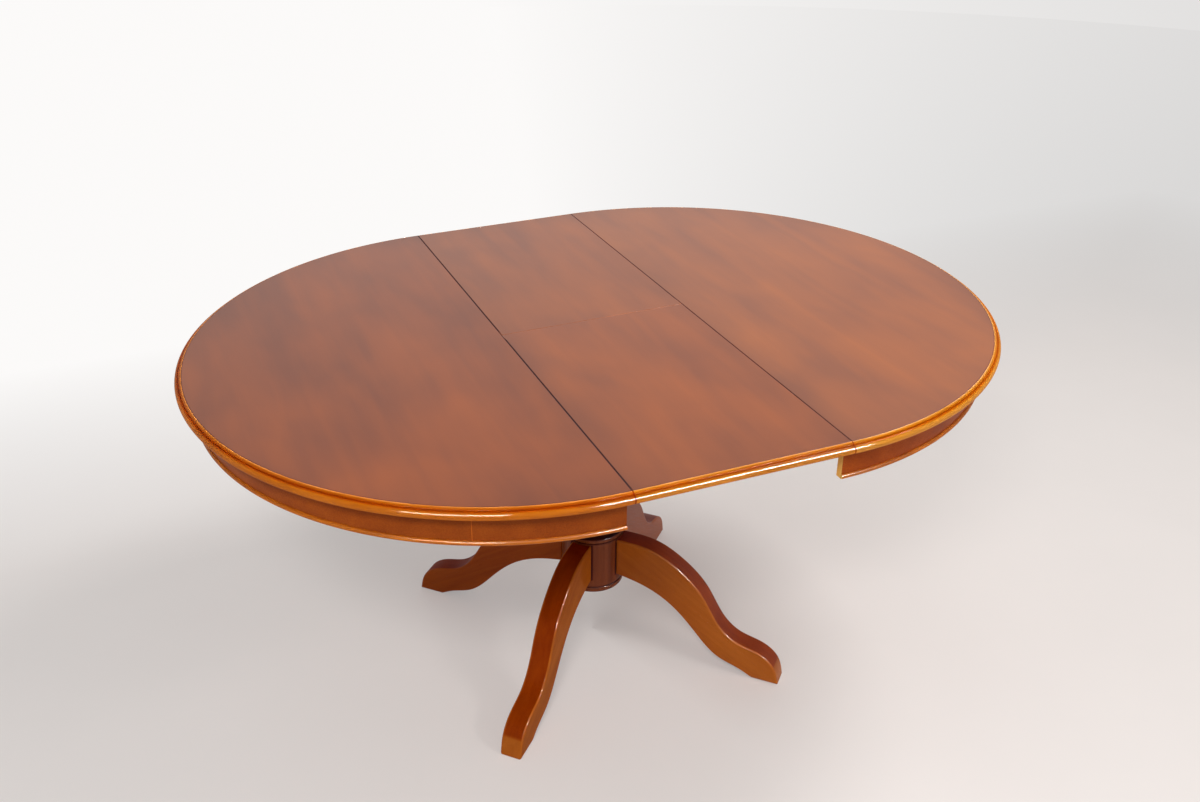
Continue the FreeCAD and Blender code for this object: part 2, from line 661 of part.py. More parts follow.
def make_base_frame():
    """Block on the column, bearers across it and the two fixed centre rails, all screwed together."""
    corner = "-block_width/2"
    block = box("block", (corner, corner, COLUMN_TOP), ("block_width", "block_width", "block_thickness"))
    nut_pocket = "(rod_washer_thickness + rod_nut_height + rod_tail)"
    washer_bore = rod("block_nut_pocket", ("0", "0", f"{BEARER_FOOT} - {nut_pocket}"),
                      "rod_washer_radius + bore_play", nut_pocket)
    rod_bore = rod("block_rod_bore", ("0", "0", COLUMN_TOP), ROD_BORE, "block_thickness")
    diagonal = f"({math.sqrt(0.5)}*column_screw_place)"
    column_holes = screw_set("column_screws", mirrored_places(diagonal, diagonal, BEARER_FOOT),
                             "column_screw_length", "-z")
    bearer_holes = screw_set("bearer_screws",
                             mirrored_places("bearer_spacing/2", "bearer_screw_place", RAIL_FOOT),
                             "bearer_screw_length", "-z")
    rail_holes = screw_set("rail_screws",
                           mirrored_places("bearer_spacing/2", "rail_spacing/2", BEARER_FOOT),
                           "rail_screw_length")
    keep(cut("top_block", block, [washer_bore, rod_bore] + column_holes + bearer_holes), "column_top_block")
    for side, sign in (("right", 1), ("left", -1)):
        low = (f"{sign}*bearer_spacing/2 - bearer_width/2", "-bearer_length/2", BEARER_FOOT)
        plain = box(f"bearer_{side}_plain", low, ("bearer_width", "bearer_length", "bearer_height"))
        keep(cut(f"bearer_{side}", plain, bearer_holes + rail_holes), f"cross_bearer_{side}")
    for end, sign in (("rear", 1), ("front", -1)):
        middle = f"({sign}*rail_spacing/2)"
        inner, outer = f"({middle} - rail_width/2)", f"({middle} + rail_width/2)"
        groove_top = f"({GROOVE_FOOT} + groove_height)"
        corners = ((inner, RAIL_FOOT), (outer, RAIL_FOOT), (outer, GROOVE_FOOT),
                   (f"{outer} - groove_depth", GROOVE_FOOT), (f"{outer} - groove_depth", groove_top),
                   (outer, groove_top), (outer, RAIL_TOP), (inner, RAIL_TOP), (inner, groove_top),
                   (f"{inner} + groove_depth", groove_top), (f"{inner} + groove_depth", GROOVE_FOOT),
                   (inner, GROOVE_FOOT))
        rail = bar(f"rail_{end}_plain", corners, "rail_length")
        keep(cut(f"rail_{end}", rail, rail_holes), f"centre_rail_{end}")
    return column_holes


def make_column(column_holes):
    """Turned column between hub and block, bored for the tie rod."""
    foot_top = f"({HUB_TOP} + column_foot_height)"
    cove_top = f"({foot_top} + column_cove_height)"
    collar_foot = f"({COLUMN_TOP} - column_collar_height)"
    shoulder_foot = f"({collar_foot} - column_shoulder_height)"
    corners = ((ROD_BORE, HUB_TOP), ("column_foot_radius", HUB_TOP), ("column_foot_radius", foot_top),
               ("column_neck_radius", cove_top), ("column_shoulder_radius", shoulder_foot),
               ("column_collar_radius", collar_foot), ("column_collar_radius", COLUMN_TOP),
               (ROD_BORE, COLUMN_TOP))
    body = turning("column", corners, {2: ("column_cove_height", -1), 4: ("column_shoulder_height", -1)})
    keep(cut("column_bored", body, column_holes), "pedestal_column")


def leg_tools(name, turn):
    """Cutters of the hub for one leg: its flat seat, bolt holes, spot faces and dowel holes."""
    seat_foot = f"({LEG_ROOT} - leg_seat_margin)"
    seat_height = f"leg_top + leg_seat_margin - {seat_foot}"
    tools = [box(f"{name}_flat", (HUB_FLAT, "-leg_thickness/2", seat_foot),
                 ("hub_radius", "leg_thickness", seat_height), turn)]
    for count, height in enumerate(BOLT_HEIGHTS):
        tools.append(rod(f"{name}_bolt_hole_{count}", ("0", "0", height), "bolt_radius + bore_play",
                         "hub_radius", "x", turn))
        tools.append(rod(f"{name}_spot_face_{count}", ("0", "0", height), "bolt_seat_radius", BOLT_SEAT,
                         "x", turn))
    for sign in (1, -1):
        start = f"({HUB_FLAT} - dowel_hub_depth - bore_play)"
        tools.append(rod(f"{name}_dowel_hole_{sign + 1}", (start, f"{sign}*dowel_spacing/2", DOWEL_HEIGHT),
                         "dowel_radius + bore_play", "hub_radius", "x", turn))
    return tools


def make_hub():
    """Hollow turned hub with a ring groove near each end, flats for the legs and a cap under it."""
    low = "(hub_foot + hub_low_ring)"
    high = f"({HUB_TOP} - hub_high_ring)"
    groove = "(hub_radius - hub_groove_depth)"
    rim = "(hub_radius - hub_edge_round)"
    cap_seat = "(hub_foot + cap_thickness)"
    corners = (("cap_radius", "hub_foot"), (rim, "hub_foot"), ("hub_radius", "hub_foot + hub_edge_round"),
               ("hub_radius", low), (groove, low), (groove, f"{low} + hub_groove_width"),
               ("hub_radius", f"{low} + hub_groove_width"), ("hub_radius", f"{high} - hub_groove_width"),
               (groove, f"{high} - hub_groove_width"), (groove, high), ("hub_radius", high),
               ("hub_radius", f"{HUB_TOP} - hub_edge_round"), (rim, HUB_TOP), (ROD_BORE, HUB_TOP),
               (ROD_BORE, CAVITY_TOP), ("hub_cavity_radius", CAVITY_TOP), ("hub_cavity_radius", cap_seat),
               ("cap_radius", cap_seat))
    body = turning("hub", corners, {1: ("hub_edge_round", 1), 11: ("hub_edge_round", 1)})
    tools = []
    for name, turn in LEG_ANGLES.items():
        tools += leg_tools(f"hub_{name}", turn)
    keep(cut("hub_cut", body, tools), "leg_hub")
    keep(rod("cap", ("0", "0", "hub_foot"), "cap_radius - bore_play", "cap_thickness"), "hub_cap")


def make_tie_rod():
    """Threaded rod from the hub's roof to the top block, with a washer and a nut at each end."""
    low_washer = f"({CAVITY_TOP} - rod_washer_thickness)"
    low_nut = f"({low_washer} - rod_nut_height)"
    high_washer = f"({BEARER_FOOT} - rod_tail - rod_nut_height - rod_washer_thickness)"
    high_nut = f"({high_washer} + rod_washer_thickness)"
    foot = f"({low_nut} - rod_tail)"
    length = f"{high_nut} + rod_nut_height + rod_tail/2 - {foot}"
    keep(rod("tie", ("0", "0", foot), "rod_radius", length), "tie_rod")
    washers = [tube(f"rod_washer_{count}", ("0", "0", height), ROD_BORE, "rod_washer_radius",
                    "rod_washer_thickness") for count, height in enumerate((low_washer, high_washer))]
    keep(bundle("rod_washers", washers), "tie_rod_washers")
    nuts = []
    for count, height in enumerate((low_nut, high_nut)):
        block = hexagon(f"rod_nut_{count}_block", ("0", "0", height), "rod_nut_radius", "rod_nut_height")
        bore = rod(f"rod_nut_{count}_bore", ("0", "0", height), ROD_BORE, "rod_nut_height")
        nuts.append(cut(f"rod_nut_{count}", block, [bore]))
    keep(bundle("rod_nuts", nuts), "tie_rod_nuts")


def leg_shape():
    """One leg pointing along +X: an S-curved board with eased edges, a flat sole and bored root."""
    root, reach = number(HUB_FLAT), number("leg_reach")
    foot, top = number(LEG_FOOT), number("leg_top")
    thickness, sole = number("leg_thickness"), number("sole_length")

    def curve(shares, extra=()):
        points = [Vector(root + along * (reach - root), -thickness / 2, foot + up * (top - foot))
                  for along, up in shares]
        line = Part.BSplineCurve()
        line.interpolate(points + list(extra))
        return line.toShape()

    heel = Vector(reach - sole, -thickness / 2, foot)
    upper = curve(LEG_UPPER_SHARES)
    lower = curve(LEG_LOWER_SHARES, [heel])
    toe = upper.valueAt(upper.LastParameter)
    root_top = upper.valueAt(upper.FirstParameter)
    root_low = lower.valueAt(lower.FirstParameter)
    wire = Part.Wire([upper, Part.makeLine(toe, heel), lower, Part.makeLine(root_low, root_top)])
    board = Part.Face(wire).extrude(Vector(0, thickness, 0))
    long_edges = [edge for edge in board.Edges if isinstance(edge.Curve, Part.BSplineCurve)]
    board = board.makeFillet(number("leg_arris"), long_edges)
    along = Vector(1, 0, 0)
    holes = [Part.makeCylinder(number("bolt_radius + bore_play"), number("bolt_bite + bore_play"),
                               Vector(root, 0, number(height)), along) for height in BOLT_HEIGHTS]
    for sign in (1, -1):
        start = Vector(root, sign * number("dowel_spacing") / 2, number(DOWEL_HEIGHT))
        holes.append(Part.makeCylinder(number("dowel_radius + bore_play"),
                                       number("dowel_leg_depth + bore_play"), start, along))
    holes.append(Part.makeCylinder(number("glide_radius + bore_play"), number("glide_thickness"),
                                   Vector(reach - sole / 2, 0, 0)))
    return board.cut(holes)


def make_legs():
    """Four legs, and the dowels, bolts and glides that go with them."""
    shape = leg_shape()
    dowels, bolts, washers, nuts, glides = [], [], [], [], []
    for name, turn in LEG_ANGLES.items():
        leg = doc.addObject("Part::Feature", f"leg_{name}")
        leg.Shape = shape
        leg.Placement = Placement(Vector(), Rotation(Vector(0, 0, 1), turn))
        keep(leg, f"leg_{name}")
        for sign in (1, -1):
            start = (f"{HUB_FLAT} - dowel_hub_depth", f"{sign}*dowel_spacing/2", DOWEL_HEIGHT)
            dowels.append(rod(f"dowel_{name}_{sign + 1}", start, "dowel_radius",
                              "dowel_hub_depth + dowel_leg_depth", "x", turn))
        washer_face = f"({BOLT_SEAT} - bolt_washer_thickness)"
        nut_face = f"({washer_face} - bolt_nut_height)"
        tail = f"({nut_face} - bolt_tail)"
        bore = "bolt_radius + bore_play"
        for count, height in enumerate(BOLT_HEIGHTS):
            mark = f"{name}_{count}"
            bolts.append(rod(f"bolt_{mark}", (tail, "0", height), "bolt_radius",
                             f"{HUB_FLAT} + bolt_bite - {tail}", "x", turn))
            washers.append(tube(f"bolt_washer_{mark}", (washer_face, "0", height), bore,
                                "bolt_washer_radius", "bolt_washer_thickness", "x", turn))
            plain = hexagon(f"bolt_nut_{mark}_block", (nut_face, "0", height), "bolt_nut_radius",
                            "bolt_nut_height", "x", turn)
            hole = rod(f"bolt_nut_{mark}_bore", (nut_face, "0", height), bore, "bolt_nut_height", "x", turn)
            nuts.append(cut(f"bolt_nut_{mark}", plain, [hole]))
        glides.append(rod(f"glide_{name}", ("leg_reach - sole_length/2", "0", "0"), "glide_radius",
                          "glide_thickness", "z", turn))
    for label, pieces in (("leg_dowels", dowels), ("leg_bolts", bolts), ("leg_bolt_washers", washers),
                          ("leg_bolt_nuts", nuts), ("foot_glides", glides)):
        keep(bundle(f"{label}_set", pieces), label)


def write_parts():
    """Check every object and sub-part, then write one file to each sub-part."""
    doc.recompute()
    for item in doc.Objects:
        if "Invalid" in item.State or "Error" in item.State:
            raise RuntimeError(f"{item.Label} failed: {item.State}")
    for piece in sub_parts:
        if piece.Shape.isNull() or not piece.Shape.isValid() or not piece.Shape.Solids:
            raise RuntimeError(f"{piece.Label} has no valid solid")
    os.makedirs("parts", exist_ok=True)
    for piece in sub_parts:
        piece.Shape.exportStep(f"parts/{piece.Label}.step")
        print(piece.Label, len(piece.Shape.Solids), "solids", round(piece.Shape.Volume), "mm3")


make_hub()
make_legs()
make_column(make_base_frame())
make_tie_rod()
make_pinion()
for half in ("left", "right"):
    make_half(half)
for half in ("front", "rear"):
    make_leaf(half)
write_parts()
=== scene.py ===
"""Looks of an extending pedestal dining table: veneered half tops and leaf, moulded edges, aprons,
sabre legs and turned column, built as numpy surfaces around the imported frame. Metres, +Z up."""
import json
import math

import bmesh
import bpy
import numpy as np
from mathutils import Matrix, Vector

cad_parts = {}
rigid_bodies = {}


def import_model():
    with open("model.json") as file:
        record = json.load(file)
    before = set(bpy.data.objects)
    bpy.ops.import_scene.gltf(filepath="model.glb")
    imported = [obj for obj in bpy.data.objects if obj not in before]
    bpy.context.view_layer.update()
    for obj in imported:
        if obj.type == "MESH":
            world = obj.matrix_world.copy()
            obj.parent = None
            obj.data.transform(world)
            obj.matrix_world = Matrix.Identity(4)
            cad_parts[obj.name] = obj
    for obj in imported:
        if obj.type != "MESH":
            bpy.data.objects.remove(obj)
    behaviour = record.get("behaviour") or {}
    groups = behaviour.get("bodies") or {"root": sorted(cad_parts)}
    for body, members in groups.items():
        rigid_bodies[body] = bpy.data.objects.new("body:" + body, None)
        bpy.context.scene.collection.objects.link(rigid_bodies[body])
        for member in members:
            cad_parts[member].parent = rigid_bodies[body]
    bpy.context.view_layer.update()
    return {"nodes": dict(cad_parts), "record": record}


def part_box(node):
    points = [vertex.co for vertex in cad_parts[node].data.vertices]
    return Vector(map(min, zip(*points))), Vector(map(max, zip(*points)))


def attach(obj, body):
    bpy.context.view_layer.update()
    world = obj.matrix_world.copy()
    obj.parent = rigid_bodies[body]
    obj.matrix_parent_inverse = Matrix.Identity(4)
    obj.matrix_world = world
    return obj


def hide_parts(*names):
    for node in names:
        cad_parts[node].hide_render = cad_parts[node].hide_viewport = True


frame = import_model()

bl_info = {
    "name": "Extending pedestal table",
    "version": (1, 0, 0),
    "blender": (4, 5, 0),
    "location": "3D View > Sidebar > Table",
    "description": "Dresses an extending pedestal dining table in stained, lacquered wood",
    "category": "Object",
}


def frame_corners(node):
    """Lowest and highest corner of a node of the frame, as arrays."""
    low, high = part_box(node)
    return np.array(low), np.array(high)


PANEL_LOW, PANEL_HIGH = frame_corners("top_panel_right")
EDGE_HIGH = frame_corners("edge_moulding_right")[1]
APRON_LOW, APRON_HIGH = frame_corners("apron_right")
BEAD_HIGH = frame_corners("apron_bead_right")[1]
LEAF_LOW, LEAF_HIGH = frame_corners("leaf_panel_rear")
HUB_LOW, HUB_HIGH = frame_corners("leg_hub")
COLUMN_LOW, COLUMN_HIGH = frame_corners("pedestal_column")

SEAM = PANEL_LOW[0]
FIELD_RADIUS = PANEL_HIGH[1]
TOP_RADIUS = EDGE_HIGH[1]
UNDER, TOP = PANEL_LOW[2], PANEL_HIGH[2]
TURNS = {"right": 1, "left": -1, "rear": 1, "front": -1}
HAIR = 0.001
EASE_STEPS = 5
SHARP_ANGLE = math.radians(40)

# Sheets of veneer: where each is cut from the figure, and the depth of its stain, which also
# paints light and shade across the top: the right sheet lighter, the left sheet darker
VENEER_CUTS = {"right": ((0.0, 0.0, 0.0), 0.90), "left": ((3.7, 1.3, 0.4), 1.02),
               "leaf_rear": ((7.1, 2.2, 0.0), 0.94), "leaf_front": ((11.3, 0.6, 0.9), 0.98)}
# Depth of the moulding's stain on each side: painted light on the right strip, painted shade on the
# left
MOULDING_DEPTHS = {"right": 0.82, "left": 1.13, "leaf": 0.92}

# Wear: above 0 the stain is rubbed off, below 0 it is dark with grime; the pale line along the
# fold is a painted highlight, and the dark on the hub is painted shade
SEAM_WEAR = {"right": -0.4, "left": -0.8}
RIM_WEAR = -0.35
# Pale line along the leaf's fold: a painted highlight
FOLD_WEAR = 0.8
JOINT_WEAR = -0.9
BEAD_WEAR = 0.6
# Dark in the hub's grooves and beside the legs: painted shade
HUB_WEAR = -0.8

# Legs: turn about the column in degrees, depth of the stain and sheen of the lacquer; the rear
# legs' deeper stain is painted shade
LEG_TURNS = {"rear_right": 45, "rear_left": 135, "front_left": 225, "front_right": 315}
LEG_DEPTHS = {"rear_right": 1.25, "rear_left": 1.22, "front_left": 1.0, "front_right": 1.0}
LEG_SHEENS = {"rear_right": 0.12, "rear_left": 0.02, "front_left": 0.0, "front_right": 0.05}

# Side view of a leg, as in the frame: shares of its reach from the hub and of its height
LEG_UPPER_SHARES = ((0, 1), (0.09, 1), (0.19, 0.985), (0.365, 0.872), (0.53, 0.655),
                    (0.65, 0.395), (0.737, 0.305), (0.875, 0.25), (0.965, 0.155), (1, 0))
LEG_LOWER_SHARES = ((0, 0.675), (0.18, 0.62), (0.32, 0.525), (0.49, 0.305), (0.647, 0.11),
                    (0.77, 0.05))

# Column: radius as a share of its collar's, height from its foot or depth from its top, and easing
COLUMN_FOOT_SHARES = ((0.867, 0.0, 0.005), (0.867, 0.016, 0.004), (0.76, 0.018, 0.002),
                      (0.70, 0.042, 0.010))
COLUMN_HEAD_SHARES = ((0.833, 0.044, 0.008), (0.86, 0.028, 0.002), (1.0, 0.024, 0.004),
                      (1.0, 0.0, 0.004))

# Grain: noise scales along and across the fibres, and the bands of noise in which it shows
FIBRE_SCALE = (22, 900, 900)
PORE_SCALE = (70, 1900, 1900)
TONE_STOPS = (0.34, 0.50, 0.66)
PORE_BAND = (0.60, 0.72)
CLOUD_BAND = (0.35, 0.65)
EVEN_BAND = (0.3, 0.7)
PIT_SHARE = 0.55
BARE_SHARE = 1.35
LEAST_WEAR_SHARE = 0.3
# How much the tone deepens where wear is below 0: grime, and painted shade
GRIME_DEPTH = 1.6
GRIME_ROUGHNESS = 0.5
DULL_GRIME = 0.5
DULL_COAT_SHARE = 0.1
FIBRE_RELIEF_SHARE = 0.4
GRAIN_RELIEF = 0.0004
FINE_RELIEF = 0.0002

# Smoky stain: its reach from the rim and from the seam, its shares there, and how clouds break it
HALF_SMOKE_REACH = (0.085, 0.06)
LEAF_SMOKE_REACH = (0.11, 0.05)
SMOKE_SHARES = (0.24, 0.22)
SMOKE_FALL = 1.6
SMOKE_BREAK = (*EVEN_BAND, 1.15, 0.55)

# Left apron, along its length: where its painted shade grows heavier, and the joint in its veneer
APRON_SMOKE = (0.25, 0.90, 0.0, 0.32)
APRON_JOINT, APRON_JOINT_WIDTH, APRON_JOINT_SHARE = 0.693, 0.0007, 0.95

# Backdrop: its tone, and by a part of the direction: from, to, and the strength at each
BACKDROP_TONE = (1.0, 0.985, 0.975, 1.0)
MIRROR_FRONT = (-0.3, 0.5, 0.3, 1.0)
MIRROR_LEFT = (0.0, 0.2, 0.84, 1.0)
MIRROR_RIGHT = (0.52, 0.64, 1.0, 0.66)
BACKDROP_RIGHT = (0.3, 0.9, 1.0, 0.72)
BACKDROP_OVERHEAD = (0.33, 0.52, 1.0, 0.50)


def colour(name, description, default):
    """Setting that holds a colour."""
    return bpy.props.FloatVectorProperty(name=name, description=description, default=default,
                                         subtype="COLOR", min=0, max=1)


def length(name, description, default):
    """Setting that holds a length in metres."""
    return bpy.props.FloatProperty(name=name, description=description, default=default,
                                   unit="LENGTH", min=0, precision=4)


def power(name, description, default):
    """Setting that holds a lamp's power."""
    return bpy.props.FloatProperty(name=name, description=description, default=default,
                                   unit="POWER")


def share(name, description, default):
    """Setting that holds a share from 0 to 1."""
    return bpy.props.FloatProperty(name=name, description=description, default=default,
                                   subtype="FACTOR", min=0, max=1)


def turn_of(name, description, degrees):
    """Setting that holds an angle."""
    return bpy.props.FloatProperty(name=name, description=description, subtype="ANGLE",
                                   default=math.radians(degrees))


class TableTones(bpy.types.PropertyGroup):
    """Colours of the pieces: each stain from its dark to its light grain, metals and nylon."""
    veneer_dark: colour("Veneer dark", "Dark streaks of the top", (0.230, 0.060, 0.023))
    veneer_mid: colour("Veneer", "Main tone of the top", (0.300, 0.075, 0.022))
    veneer_light: colour("Veneer light", "Light streaks of the top", (0.365, 0.089, 0.020))
    edge_dark: colour("Edge dark", "Dark grain of the edge moulding", (0.480, 0.130, 0.003))
    edge_mid: colour("Edge", "Main tone of the edge moulding", (0.560, 0.162, 0.004))
    edge_light: colour("Edge light", "Light grain of the edge moulding", (0.610, 0.184, 0.005))
    # Pale tone of the moulding's upper arris: bare wood, and the painted highlight line there
    edge_bare: colour("Edge bare", "Rubbed arris of the edge moulding", (0.930, 0.390, 0.110))
    apron_dark: colour("Apron dark", "Dark grain of the apron", (0.235, 0.038, 0.003))
    apron_mid: colour("Apron", "Main tone of the apron", (0.335, 0.059, 0.004))
    apron_light: colour("Apron light", "Light grain of the apron", (0.430, 0.085, 0.006))
    bead_dark: colour("Bead dark", "Dark grain of the apron's bead", (0.360, 0.085, 0.004))
    bead_mid: colour("Bead", "Main tone of the apron's bead", (0.500, 0.130, 0.006))
    bead_light: colour("Bead light", "Light grain of the apron's bead", (0.570, 0.160, 0.009))
    leg_dark: colour("Leg dark", "Dark grain of the legs", (0.350, 0.078, 0.006))
    leg_mid: colour("Leg", "Main tone of the legs", (0.420, 0.106, 0.009))
    leg_light: colour("Leg light", "Light grain of the legs", (0.480, 0.130, 0.013))
    # Hub and column are darker than the legs: painted shade for the shadow under the top
    column_dark: colour("Column dark", "Dark grain of hub and column", (0.130, 0.026, 0.006))
    column_mid: colour("Column", "Main tone of hub and column", (0.200, 0.042, 0.009))
    column_light: colour("Column light", "Light grain of hub and column", (0.280, 0.064, 0.014))
    raw_dark: colour("Raw dark", "Dark layers of the apron's ends", (0.640, 0.285, 0.046))
    raw_mid: colour("Raw", "Main tone of the apron's ends", (0.930, 0.480, 0.100))
    raw_light: colour("Raw light", "Light layers of the apron's ends", (0.970, 0.630, 0.190))
    beech_dark: colour("Beech dark", "Dark grain of the bare rails", (0.400, 0.250, 0.130))
    beech_mid: colour("Beech", "Main tone of the bare rails", (0.540, 0.370, 0.210))
    beech_light: colour("Beech light", "Light grain of the bare rails", (0.640, 0.470, 0.290))
    zinc: colour("Zinc", "Plated screws, bolts and catches", (0.56, 0.56, 0.53))
    brass: colour("Brass", "Barrels of the leaf's hinges", (0.72, 0.50, 0.19))
    nylon_dark: colour("Nylon dark", "Dark mottle of the nylon pieces", (0.62, 0.60, 0.54))
    nylon_light: colour("Nylon light", "Light mottle of the nylon pieces", (0.74, 0.72, 0.66))


class TableDetail(bpy.types.PropertyGroup):
    """Small sizes that finish the joinery."""
    panel_ease: length("Panel easing", "Rounding of the veneered panels' edges", 0.0006)
    moulding_ease: length("Moulding easing", "Rounding of the moulding's small corners", 0.0005)
    joint_line: length("Joint line", "Width of the dark line where two strips meet", 0.0012)
    nose_depth: length("Nose depth", "Depth of the edge's bullnose", 0.0064)
    quirk_drop: length("Quirk drop", "Depth of the quirk under the top", 0.0046)
    quirk_width: length("Quirk width", "Width of the quirk", 0.0012)
    bevel_drop: length("Bevel drop", "Fall of the bevel beside the field", 0.0026)
    bevel_land: length("Bevel land", "Flat land beside the field", 0.0008)
    apron_ease: length("Apron easing", "Rounding of the apron's edges", 0.0010)
    leg_thickness: length("Leg thickness", "Width of a leg across its sides", 0.045)
    leg_arris: length("Leg arris", "Rounding of a leg's long edges", 0.0040)
    leg_reach: length("Leg reach", "Toe of a leg from the column's axis", 0.427)
    leg_root: length("Leg root", "Seat of a leg from the column's axis", 0.06205)
    leg_top: length("Leg top", "Height of a leg at the hub", 0.270)
    leg_foot: length("Leg foot", "Height of a leg's sole above the floor", 0.0015)
    leg_margin: length("Leg margin", "Room in the hub's seat above and below a leg", 0.0015)
    sole_length: length("Sole length", "Length of a leg's flat sole", 0.057)
    hub_groove: length("Hub groove", "Width of the hub's ring grooves", 0.0030)
    hub_low_ring: length("Hub low ring", "Height of the ring under the low groove", 0.011)
    hub_high_ring: length("Hub high ring", "Height of the ring over the high groove", 0.008)


class TableStage(bpy.types.PropertyGroup):
    """Floor, lamps and camera."""
    floor: colour("Floor", "Pale floor", (0.86, 0.80, 0.77))
    backdrop: share("Backdrop", "How white the backdrop behind the table is seen", 0.97)
    floor_lift: share("Floor lift", "Backdrop's white in the floor near the table", 0.30)
    key_power: power("Key lamp", "Lamp in front of the table, to its right", 16.0)
    fill_power: power("Fill lamp", "Lamp in front of the table, to its left", 43.0)
    side_power: power("Side lamp", "Wide lamp high above the table's right end", 50.0)
    glint_power: power("Glints", "Strips of light that the lacquer reflects", 170.0)
    sky_strength: bpy.props.FloatProperty(
        name="Sky", description="Strength of the even light from all round", default=0.38)
    camera_place: bpy.props.FloatVectorProperty(
        name="Camera place", description="Where the camera stands",
        default=(-0.82155, -1.9024, 1.694), subtype="TRANSLATION", unit="LENGTH")
    camera_yaw: turn_of("Camera yaw", "Turn of the view from +Y towards +X", 20.368)
    camera_pitch: turn_of("Camera pitch", "Fall of the view below the horizon", 28.2595)
    camera_roll: turn_of("Camera roll", "Tilt of the view about its own line", -1.01876)
    camera_lens: bpy.props.FloatProperty(
        name="Camera lens", description="Focal length on the camera's sensor", unit="CAMERA",
        default=35.007)
    camera_sensor: bpy.props.FloatProperty(
        name="Camera sensor", description="Width of the camera's sensor", unit="CAMERA",
        default=36.0)
    camera_shift: bpy.props.FloatProperty(
        name="Camera shift", description="Sideways shift of the picture, in widths", default=0.05)


def tones():
    """Colours of the table in this scene."""
    return bpy.context.scene.table_tones


def detail():
    """Small sizes of the table in this scene."""
    return bpy.context.scene.table_detail


def stain(kind):
    """Dark, main and light tone of one stain."""
    return tuple(tuple(getattr(tones(), f"{kind}_{tone}")) for tone in ("dark", "mid", "light"))


# Curves and grids

def rounded(corners, ease):
    """Closed outline with each corner P replaced by the parabola from A to B, the points one easing
    back along its two sides: (1-t)^2 A + 2t(1-t) P + t^2 B."""
    corner = np.asarray(corners, float)
    ease = np.broadcast_to(np.asarray(ease, float), len(corner))[:, None]
    before = np.roll(corner, 1, 0) - corner
    after = np.roll(corner, -1, 0) - corner
    start = corner + before / np.linalg.norm(before, axis=1, keepdims=True) * ease
    end = corner + after / np.linalg.norm(after, axis=1, keepdims=True) * ease
    t = np.linspace(0, 1, EASE_STEPS)[None, :, None]
    curve = ((1 - t) ** 2 * start[:, None] + 2 * t * (1 - t) * corner[:, None]
             + t ** 2 * end[:, None])
    return curve.reshape(-1, 2)


def arc(start, end, rise, steps):
    """Round stretch from start to end that stands out to the right of its chord by rise."""
    start, end = np.asarray(start, float), np.asarray(end, float)
    chord = end - start
    span = np.linalg.norm(chord)
    radius = (span ** 2 / 4 + rise ** 2) / (2 * rise)
    right = np.array((chord[1], -chord[0])) / span
    centre = (start + end) / 2 + right * (rise - radius)
    reach = math.asin(min(span / (2 * radius), 1))
    angle = np.linspace(-reach, reach, steps)[:, None]
    return centre + radius * (np.cos(angle) * right + np.sin(angle) * chord / span)


def spline(points, steps):
    """Natural cubic through the points, spaced by chord length: second slopes M solve the
    tridiagonal rows h0 M0 + 2(h0+h1) M1 + h1 M2 = 6 (d1 - d0)."""
    points = np.asarray(points, float)
    gap = np.linalg.norm(np.diff(points, axis=0), axis=1)
    knot = np.concatenate(((0,), np.cumsum(gap)))
    slope = np.diff(points, axis=0) / gap[:, None]
    count = len(points)
    rows = np.eye(count)
    inner = np.arange(1, count - 1)
    rows[inner, inner - 1] = gap[:-1]
    rows[inner, inner] = 2 * (gap[:-1] + gap[1:])
    rows[inner, inner + 1] = gap[1:]
    right = np.zeros_like(points)
    right[1:-1] = 6 * np.diff(slope, axis=0)
    bend = np.linalg.solve(rows, right)
    place = np.linspace(0, knot[-1], steps)
    span = np.clip(np.searchsorted(knot, place, side="right") - 1, 0, count - 2)
    width = gap[span][:, None]
    left, ahead = (place - knot[span])[:, None], (knot[span + 1] - place)[:, None]
    return (bend[span] * ahead ** 3 + bend[span + 1] * left ** 3) / (6 * width) + (
        points[span] / width - bend[span] * width / 6) * ahead + (
        points[span + 1] / width - bend[span + 1] * width / 6) * left


def fade(value, start, span):
    """0 up to the start, rising evenly to 1 over the span."""
    return np.clip((value - start) / span, 0, 1)


def spread(*parts):
    """Points from their parts, each stretched to the grid that they make together."""
    return np.stack(np.broadcast_arrays(*parts), -1)


def run_length(points):
    """Distance along an outline from its first point."""
    steps = np.linalg.norm(np.diff(points, axis=0), axis=-1)
    return np.concatenate(((0,), np.cumsum(steps)))


def with_ends(low, high, steps, margin):
    """Even steps from low to high, and one more step a margin from each end."""
    even = np.linspace(low, high, steps)
    joints = (even[:1], (low + margin,), even[1:-1], (high - margin,), even[-1:])
    return np.concatenate(joints)[:, None]


def joint_wear(wear, rows):
    """Wear and painted light of a strip's section repeated along its rows, with dark joints at
    both ends.
    """
    worn = np.repeat(wear[None], rows, 0)
    worn[[0, -1]] = JOINT_WEAR
    return worn


def half_turn(outline, turn, steps=181):
    """Outline of (radius, height) carried round half a circle about the seam's middle: the point is
    (seam + r cos a, r sin a, z), turned half way round the column for the left half."""
    angle = with_ends(-math.pi / 2, math.pi / 2, steps, detail().joint_line / TOP_RADIUS)
    radius, height = outline[None, :, 0], outline[None, :, 1]
    along = SEAM + radius * np.cos(angle)
    across = radius * np.sin(angle)
    grain = spread(angle * TOP_RADIUS, run_length(outline)[None], height)
    return spread(turn * along, turn * across, height), grain


def whole_turn(outline, steps=120):
    """Outline of (radius, height) turned about the column: (r cos a, r sin a, z)."""
    angle = np.linspace(0, math.tau, steps, endpoint=False)[:, None]
    radius, height = outline[None, :, 0], outline[None, :, 1]
    place = spread(radius * np.cos(angle), radius * np.sin(angle), height)
    return place, place[..., (2, 0, 1)]


